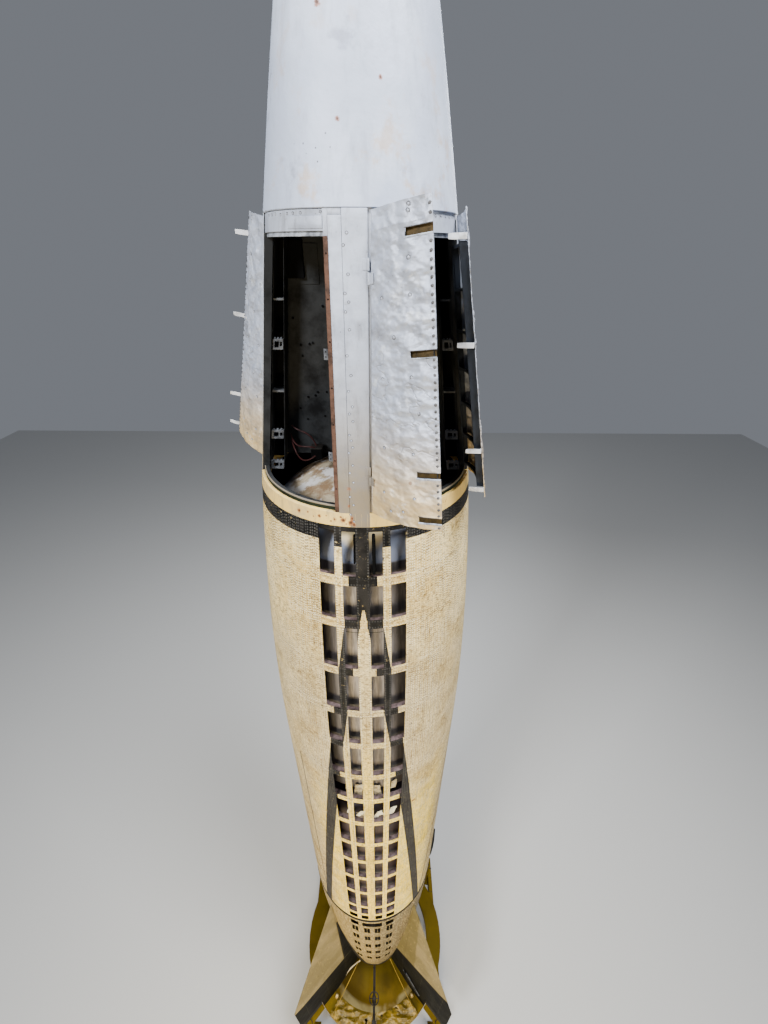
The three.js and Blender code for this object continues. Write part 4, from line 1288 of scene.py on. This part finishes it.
def leafRivets(leaf, lift):
    width = doorway["width"]
    edge = [(width - 0.013, 10.715 + row * 0.0296) for row in range(44)]
    field = [(0.268, 12.00), (0.266, 11.98), (0.264, 11.83), (0.267, 11.70), (0.270, 11.39), (0.272, 11.06),
             (0.274, 10.85), (0.088, 11.70), (0.092, 11.38), (0.095, 11.07), (0.098, 10.85), (0.30, 11.24),
             (0.17, 11.55), (0.14, 10.76), (0.21, 10.77)]
    heads = []
    for places, size in ((edge, 0.0058), (field, 0.0072)):
        spots = []
        for across, latch in places:
            height = floorToFins + latch
            atSlot = any(abs(latch - slot) < 0.021 for slot in doorway["latches"])
            if atSlot and across > width * 0.65 and leaf.kind == "a":
                continue
            depth = -lift(across, height) - (0.0012 if size < 0.007 and leaf.kind == "a" else 0.0)
            spots.append((leaf.closedPoint(across, depth, height),
                          leaf.closedPoint(across, depth - 0.01, height)))
        outward = {tuple(spot): (out - spot) for spot, out in spots}
        finish = "hinge" if size > 0.007 else "dirt"
        heads.append(studs("heads", [spot for spot, out in spots], lambda spot: outward[tuple(spot)], size,
                           finish))
    heads = joined(heads)
    heads.data.transform(leaf.hung())
    return heads


def makeDoors():
    seed = 3
    for place in doorway["turns"]:
        for kind in "ab":
            makeLeaf(place, kind, seed)
            seed += 1
            leaf = Leaf(place, kind)
            side = -1 if kind == "a" else 1
            fixed = [makeKnuckle(leaf, latch, doorway["knuckleShift"], side) for latch in doorway["knuckles"]]
            knuckle = joined(fixed, f"fixedKnuckles_{place}_{kind}")
            knuckle.data.transform(Matrix.Rotation(leaf.turn, 4, "Z"))
            onBody(knuckle, "bay_frame", slot="grey_paint")


makeBayFrame()
makeBayFittings()
print("bay made")
makeDoors()
print("doors made")


# Tank section: the skin with its window rows, the ring frames behind them, and the two tanks
tankSection = {
    "skin": 0.003, "columns": [(-20.6, -13.05), (-9.4, -3.1), (3.1, 9.4), (13.05, 20.6)],
    "top": 10.588, "bottom": 4.480, "bar": 0.068, "corner": 0.004, "rows": 24, "tankClear": 0.068,
}


def windowHoles():
    half = tankSection["bar"] / 2
    edges = [tankSection["top"] + half, *windowBars, tankSection["bottom"] - half]
    arm = stations["bodyRadius"]
    for left, right in tankSection["columns"]:
        for above, below in zip(edges, edges[1:]):
            low, high = floorToFins + below + half, floorToFins + above - half
            yield math.radians(left) * arm, math.radians(right) * arm, low, high


def makeShell(name, node, edge, low, high, columns, rows, finish, start, holes=None, corner=0.0):
    arm, thickness = stations["bodyRadius"], tankSection["skin"]
    sheet = flatSheet(name, -edge, edge, low, high, columns, rows, finish)
    linedWith(thickened(sheet, thickness), "inner", thickness)
    if holes:
        cutThrough(sheet, holeCutters(holes, corner))
    onBody(wrapped(sheet, bodyRadiusAt, arm, start), node, slot="cream_paint")


def makeTankSkin():
    low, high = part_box("tank_shell_front")[0][2], stations["bayJoint"]
    edge = math.pi / 2 * stations["bodyRadius"] - 0.0003
    grid = (edge, low, high, 72, tankSection["rows"], "skin")
    makeShell("tankSkinFront", "tank_shell_front", *grid, 0.0, windowHoles(), tankSection["corner"])
    makeShell("tankSkinBack", "tank_shell_back", *grid, math.pi)


def frontPart(piece, spread):  # keeps what lies within some degrees of the front
    for side in (1, -1):
        angle = math.radians(spread) * side
        normal = (math.cos(angle) * side, math.sin(angle) * side, 0)
        cut = {"plane_co": (0, 0, 0), "plane_no": normal, "clear_outer": True, "use_fill": True}
        edited(piece, lambda: bpy.ops.mesh.bisect(**cut))
    return piece


def makeFrames():
    rings = []
    for middle in windowBars:
        height = floorToFins + middle
        skin = bodyRadiusAt(height) - tankSection["skin"] - 0.0004
        inner = skin - 0.046
        top = height + 0.012
        web = [(skin, top), (skin, height - 0.03), (skin - 0.002, height - 0.03), (skin - 0.002, top - 0.003),
               (inner + 0.002, top - 0.003), (inner + 0.002, top - 0.018), (inner, top - 0.018), (inner, top)]
        rings.append(frontPart(spun("frame", [*web, web[0]], "ledge", 72), 30))
    onBody(joined(rings, "windowFrames"), slot="cream_paint")


def domed(low, high, lowDome, highDome, clear, steps=10):
    side = [low + lowDome + (high - highDome - low - lowDome) * i / steps for i in range(steps + 1)]
    lowRadius, highRadius = bodyRadiusAt(side[0]) - clear, bodyRadiusAt(side[-1]) - clear
    turns = [math.radians(a) for a in range(0, 91, 9)]
    under = [(lowRadius * math.sin(a), low + lowDome * (1 - math.cos(a))) for a in turns[:-1]]
    over = [(highRadius * math.cos(a), high - highDome * (1 - math.sin(a))) for a in turns[1:]]
    return [*under, *[(bodyRadiusAt(z) - clear, z) for z in side], *over]


def makeTanks():
    clear = tankSection["tankClear"]
    for node, lowDome, highDome in (("alcohol_tank", 0.26, 0.34), ("oxygen_tank", 0.26, 0.26)):
        low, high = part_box(node)[0][2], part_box(node)[1][2]
        tank = spun(node.replace("_tank", "Tank"), domed(low, high, lowDome, highDome, clear), "tank")
        onBody(tank, node, slot="tank_metal")


# Between and before the tanks: black strips beside the middle stringer as painted shadow, and torn lagging in
# the gap
lagging = [  # degrees left and right, height, how tall, how far behind the skin, lean, finish
    (-9.6, -4.4, 7.875, 0.172, 0.050, 0.10, "padding"), (3.9, 8.6, 7.875, 0.167, 0.050, -0.10, "padding"),
    (-15.5, -12.6, 7.885, 0.138, 0.056, 0.12, "padding"), (-15.8, -13.0, 7.430, 0.095, 0.045, 0.2, "paper"),
    (-9.4, -6.4, 7.435, 0.115, 0.040, 0.5, "paper"), (-8.0, -3.3, 7.400, 0.054, 0.052, -0.2, "padding"),
    (2.9, 6.2, 7.415, 0.115, 0.045, 0.4, "paper"), (7.4, 10.2, 7.440, 0.081, 0.040, -0.3, "paper"),
    (12.6, 17.0, 7.430, 0.121, 0.045, 0.3, "paper"), (14.5, 18.2, 7.905, 0.127, 0.056, 0.1, "padding"),
]
stringerShadows = [(-3.75, 10.375, 10.560, 0.012), (5.35, 10.300, 10.566, 0.024)]  # degrees, low, high, width


def makeLagging():
    arm = stations["bodyRadius"]
    parts = []
    for number, (left, right, middle, tall, depth, lean, finish) in enumerate(lagging):
        a, b = math.radians(left) * arm, math.radians(right) * arm
        low = floorToFins + middle - tall / 2
        piece = flatSheet("lagging", a, b, low, low + tall, 6, 6, finish)
        thickened(piece, 0.003)
        for vertex in piece.data.vertices:
            x, y, z = vertex.co
            wave = noise.noise(Vector((x * 30, z * 30, number))) * 0.008
            vertex.co = (x + (z - low) * lean, y + wave, z + noise.noise(Vector((x * 24, 5, number))) * 0.016)
        parts.append(wrapped(piece, lambda height: bodyRadiusAt(height) - depth, arm))
    # black strips just behind the skin beside the middle stringer: painted shadow
    for degrees, low, high, width in stringerShadows:
        middle = math.radians(degrees) * arm
        piece = flatSheet("channel", middle - width / 2, middle + width / 2, floorToFins + low,
                          floorToFins + high, 2, 6, "rubberAndShade")
        thickened(piece, 0.022)
        bevelled(piece, width * 0.4, 60, 3)
        parts.append(wrapped(piece, lambda height: bodyRadiusAt(height) - 0.006, arm))
    onBody(joined(parts, "lagging"), slot="cream_paint")


makeTankSkin()
makeFrames()
makeTanks()
makeLagging()
print("tank section made")

# Tail: thin boat-tailed skin with its slots, the joint band and the nozzle
tail = {
    "slotRows": [3.93, 3.46, 2.93, 2.36, 1.70], "slotHalf": 0.019, "slotTall": 0.125, "corner": 0.008,
    "slotColumns": [-0.262, -0.215, -0.094, -0.051, 0.051, 0.094, 0.215, 0.262],
    "wide": [(-0.292, -0.185), (-0.134, 0.134), (0.185, 0.292)], "wideLow": 4.13, "wideHigh": 4.30,
    "wideAt": 4.235,
}


def tailHoles():
    arm = stations["bodyRadius"]

    def across(x, height):
        return math.asin(x / bodyRadiusAt(floorToFins + height)) * arm

    for left, right in tail["wide"]:
        low, high = floorToFins + tail["wideLow"], floorToFins + tail["wideHigh"]
        yield across(left, tail["wideAt"]), across(right, tail["wideAt"]), low, high
    for height in tail["slotRows"]:
        for x in tail["slotColumns"]:
            left, right = across(x - tail["slotHalf"], height), across(x + tail["slotHalf"], height)
            middle = floorToFins + height
            yield left, right, middle - tail["slotTall"], middle + tail["slotTall"]


def makeTail():
    edge = math.pi / 2 * stations["bodyRadius"] - 0.0002
    grid = ("tail_shell", edge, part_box("tail_shell")[0][2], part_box("tail_shell")[1][2], 64, 40, "tailSkin")
    makeShell("tailSkinFront", *grid, 0.0, tailHoles(), tail["corner"])
    makeShell("tailSkinBack", *grid, math.pi)
    bottom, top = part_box("joint_band")[0][2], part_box("joint_band")[1][2]
    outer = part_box("joint_band")[1][0]
    middle = (bottom + top) / 2
    band = [(outer - 0.010, bottom), (outer - 0.001, bottom), (outer, bottom + 0.002), (outer, top - 0.002),
            (outer - 0.001, top), (outer - 0.010, top), (outer - 0.010, bottom)]
    ring = spun("jointBand", band, "anthracite", 128)
    bolts = [aroundPoint(a, outer - 0.001, middle) for a in range(0, 360, 5)]
    heads = rivets("jointBolts", bolts, fromAxis, 0.006, "steel")
    onBody(joined([ring, heads]), "joint_band", slot="dark_paint")
    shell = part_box("thrust_chamber")
    base = shell[0][2]
    profile = [(0.370, base), (0.392, base), (0.330, base + 0.33), (0.250, base + 0.66),
               (0.226, base + 0.83), (0.245, base + 0.93), (0.310, base + 1.06), (0.480, base + 1.33),
               (0.500, base + 1.52), (0.490, base + 1.64), (0.420, base + 1.81), (0.25, base + 1.91),
               (0, shell[1][2])]
    inside = [(0, base + 0.93), (0.200, base + 0.83), (0.222, base + 0.68), (0.300, base + 0.33),
              (0.370, base)]
    onBody(spun("thrustChamber", [*profile, *inside], "steel", 72), "thrust_chamber", slot="dark_steel")


makeTail()
print("tail made")

# Stand: smooth deflector, crumpled cover over the ring, dressed posts and beams, stays, hose and conduits
stand = {
    "dome": [(0, 0.72), (0.05, 0.717), (0.12, 0.684), (0.22, 0.612), (0.36, 0.520), (0.52, 0.452),
             (0.69, 0.410), (0.86, 0.391), (0.99, 0.384), (1.025, 0.376), (1.04, 0.362), (1.03, 0.350),
             (1.0, 0.344), (0.72, 0.33), (0.43, 0.17), (0.42, 0.0), (0, 0.0)],
    "coverInner": 1.046, "coverOuter": 1.352, "coverHalf": 37.0, "coverLow": 0.90, "coverTurns": [0, 180],
    "ringTop": 0.962, "ringEdge": 1.342, "flange": 0.012, "web": 0.010, "ribPitch": 0.25,
    "post": 1.1738, "postRadius": 0.070, "screw": (0.50, 0.80), "collars": [0.075, 0.47, 0.86],
    "stays": [((-0.28, -0.45, 0.46), (-0.76, -1.08, -0.03)), ((0.29, -0.44, 0.46), (0.765, -1.062, -0.03))],
    "fittings": [(-39.5, 1.10), (40.2, 1.10), (140, 1.10), (-140, 1.10)],
    "fitting": [(0, 0.963), (0.034, 0.963), (0.034, 0.985), (0.022, 0.992), (0.022, 1.02), (0.030, 1.026),
                (0.028, 1.045), (0.014, 1.06), (0, 1.063)],
    "conduits": [(0.0, 0.008, "bracket"), (0.030, 0.010, "rubberAndShade"), (0.052, 0.006, "rubberAndShade"),
                 (0.075, 0.008, "bracket")],
    "conduitEnds": ((0.83, 0.80), (1.20, 0.36)), "clips": 9,
    "hose": [(-0.56, -0.62, 0.12), (-0.53, -0.60, 0.30), (-0.44, -0.54, 0.37), (-0.36, -0.50, 0.40),
             (-0.27, -0.47, 0.45)],
}


def coverHeight(angle, radius, share):
    place = Vector((radius * math.sin(angle) * 3.6, radius * math.cos(angle) * 8, 2))
    folds = (0.5 - abs(noise.noise(place))) * 0.07 + (0.4 - abs(noise.noise(place * 2.6))) * 0.024
    folds += noise.noise(place * 6) * 0.005
    ends = max(0, abs(math.degrees(angle)) - 24) / 13
    folds *= min(1, max(0, (abs(math.degrees(angle)) - 2.5) / 5))  # flat under the filling pipe
    edge = min(1, share / 0.12, (1 - share) / 0.12)
    raised = folds * (0.25 + 0.75 * edge) * (1 + 0.7 * min(1, ends))
    return 0.003 + raised - (1 - edge) * 0.022 * (share > 0.5)


def makeCover(turn):
    half = stand["coverHalf"]
    sheet = thickened(flatSheet("cover", -half, half, 0, 1, 96, 26, "foil"), 0.0015)
    inner, outer, ringTop = stand["coverInner"], stand["coverOuter"], stand["ringTop"]
    for vertex in sheet.data.vertices:
        angle, depth, share = vertex.co
        radius = inner + (outer - inner) * share
        height = max(stand["coverLow"], ringTop + coverHeight(math.radians(angle), radius, share)) - depth
        if radius < stand["ringEdge"]:
            height = max(height, ringTop + 0.0005)
        vertex.co = aroundPoint(angle + turn, radius, height)
    return smooth(edited(sheet, facesOut), 70)


def makeBeam(node):  # two flanges, a web, stiffening ribs and bolts
    (x0, y0, z0), (x1, y1, z1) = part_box(node)
    along = 1 if y1 - y0 > x1 - x0 else 0
    flange, web = stand["flange"], stand["web"]

    def piece(name, a, b, low, high, start, end, finish="gold", edge=0.002):
        lowCorner, highCorner = [0, 0, low], [0, 0, high]
        lowCorner[along], highCorner[along] = start, end
        lowCorner[1 - along], highCorner[1 - along] = a, b
        return bar(name, lowCorner, highCorner, finish, edge, 1)

    a, b = ((x0, x1) if along else (y0, y1))
    start, end = ((y0, y1) if along else (x0, x1))
    middle = (a + b) / 2
    parts = [piece("flange", a, b, z0, z0 + flange, start, end),
             piece("flange", a, b, z1 - flange, z1, start, end),
             piece("web", middle - web / 2, middle + web / 2, z0 + flange, z1 - flange, start, end)]
    steps = round((end - start) / stand["ribPitch"])
    bolts = []
    for i in range(steps + 1):
        at = start + 0.005 + (end - start - 0.015) * i / steps
        parts.append(piece("rib", a + 0.004, b - 0.004, z0 + flange, z1 - flange, at, at + 0.008, "gold",
                           0.001))
        for side in (0.25, 0.75):
            if i < steps:
                place = [0, 0, z1]
                place[along] = at + 0.125
                place[1 - along] = a + (b - a) * side
                bolts.append(Vector(place))
    parts.append(rivets("bolts", bolts, upwards, 0.009, "steel", 0.7))
    onBody(joined(parts, "beam_" + node.replace("_beam", "")), node, slot="yellow_paint")


def makePosts():
    parts = []
    low, high = stand["screw"]
    r = stand["postRadius"]
    rings = []
    for height in stand["collars"]:
        rings += [(r - 0.002, height - 0.022), (r + 0.016, height - 0.018), (r + 0.018, height)]
        rings += [(r + 0.016, height + 0.018), (r - 0.002, height + 0.022)]
    thread = [(r + (0.005 if i % 2 else -0.001), low + (high - low) * i / 36) for i in range(37)]
    outline = sorted([*rings, *thread], key=lambda point: point[1])
    for px in (-stand["post"], stand["post"]):
        for py in (-stand["post"], stand["post"]):
            column = spun("collars", outline, "gold", 28)
            column.data.transform(Matrix.Translation((px, py, 0)))
            nut = rod("nut", (px, py, 0.908), (px, py, 0.945), 0.062, "steel", 6, 0.003)
            lever = rod("lever", (px - 0.12, py + 0.02, 0.655), (px + 0.12, py - 0.02, 0.655), 0.011,
                        "steel", 12, 0.003)
            bolts = [Vector((px + a, py + b, 0.0405)) for a in (-0.098, 0.098) for b in (-0.098, 0.098)]
            parts += [column, nut, lever, rivets("footBolts", bolts, upwards, 0.016, "steel", 0.8)]
    onBody(joined(parts, "postDetails"), slot="yellow_paint")


def onFin(reach, height, off):  # a place beside the right front fin's camera side
    s = math.sqrt(0.5)
    return Vector((reach * s - off * s, -reach * s - off * s, floorToFins + height))


def makeStand():
    onBody(spun("deflector", stand["dome"], "gold", 96), "blast_deflector", slot="yellow_paint")
    onBody(joined([makeCover(turn) for turn in stand["coverTurns"]], "ringCover"), slot="yellow_paint")
    for node in ("side_beam_left", "side_beam_right", "cross_beam_front", "cross_beam_back"):
        makeBeam(node)
    makePosts()
    lift = Vector((0, 0, floorToFins))
    parts = [rod("stay", Vector(a) + lift, Vector(b) + lift, 0.006, "stay", 10) for a, b in stand["stays"]]
    parts.append(cable("hose", stand["hose"], 0.010, "padding"))
    for degrees, reach in stand["fittings"]:
        fitting = spun("fitting", stand["fitting"], "brass", 20)
        fitting.data.transform(Matrix.Translation(aroundPoint(degrees, reach, 0)))
        parts.append(fitting)
    (x0, z0), (x1, z1) = stand["conduitEnds"]
    for shift, radius, finish in stand["conduits"]:
        start = onFin(x0 + shift, z0 + shift * 0.4, 0.082)
        end = onFin(x1 + shift * 0.3, z1 + shift * 0.9, 0.062)
        parts.append(rod("conduit", start, end, radius, finish, 10))
    for i in range(stand["clips"]):
        share = (i + 0.5) / stand["clips"]
        x, z, off = x0 + (x1 - x0) * share, z0 + (z1 - z0) * share, 0.079 - 0.020 * share
        start = onFin(x - 0.012, z - 0.006, off)
        end = onFin(x + 0.088 - share * 0.05, z + 0.04, off)
        parts.append(rod("clip", start, end, 0.007, "bracket", 6, 0.002))
    onBody(joined(parts, "standFittings"), slot="yellow_paint")


makeStand()
print("stand made")

# Finishes of the CAD nodes that stay, by the start of their names
kept = {
    "bay_partition": "inner", "tail_end_ring": "steel", "table_ring": "gold", "filling_pipe": "steel",
    "pipe_handwheel": "steel", "fin_": "fin", "rudder": "anthracite", "jet_vane": "graphite",
    "table_post": "gold",
}
for node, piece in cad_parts.items():
    for start, finish in kept.items():
        if node.startswith(start):
            piece.data.materials.clear()
            piece.data.materials.append(finishes[finish])


# Stage: a plain pale floor and soft light, cool from above and warm from below
stage = {
    "floor": 60.0, "floorTone": (0.52, 0.52, 0.51), "sky": (0.60, 0.64, 0.72), "skyStrength": 0.30,
    "lamps": [
        ("keyLight", (-6.5, -8, 19), 2700, 3.0, (0.94, 0.97, 1.0), 10.5),
        ("topLight", (3.0, -2.6, 20.5), 2500, 2.6, (0.93, 0.96, 1.0), 11.0),
        ("fillLight", (9, -8, 10), 760, 6.0, (1.0, 0.95, 0.86), 7.0),
        ("lowLight", (-1.5, -8, 5), 1000, 3.0, (1.0, 0.80, 0.46), 5.6),
        ("backLight", (2, 10, 14), 1500, 6.0, (0.96, 0.98, 1.0), 8.0),
    ],
}


def makeStage():
    nothingSelected()
    bpy.ops.mesh.primitive_plane_add(size=stage["floor"], location=(0, 0, -0.002))
    floor = bpy.context.object
    floor.name = "floor"
    surface = bpy.data.materials.new("paleFloor")
    surface.use_nodes = True
    shade = surface.node_tree.nodes["Principled BSDF"]
    shade.inputs["Base Color"].default_value = (*stage["floorTone"], 1)
    shade.inputs["Roughness"].default_value = 0.8
    floor.data.materials.append(surface)
    world = bpy.data.worlds.new("studio")
    world.use_nodes = True
    world.node_tree.nodes["Background"].inputs["Color"].default_value = (*stage["sky"], 1)
    world.node_tree.nodes["Background"].inputs["Strength"].default_value = stage["skyStrength"]
    bpy.context.scene.world = world
    for name, place, power, size, colour, aimHeight in stage["lamps"]:
        data = bpy.data.lights.new(name, "AREA")
        data.energy = power
        data.size = size
        data.color = colour
        lamp = bpy.data.objects.new(name, data)
        bpy.context.collection.objects.link(lamp)
        aim = Vector((0, 0, aimHeight)) - Vector(place)
        lamp.matrix_world = Matrix.Translation(place) @ aim.to_track_quat("-Z", "Y").to_matrix().to_4x4()


makeStage()
print("stage made")
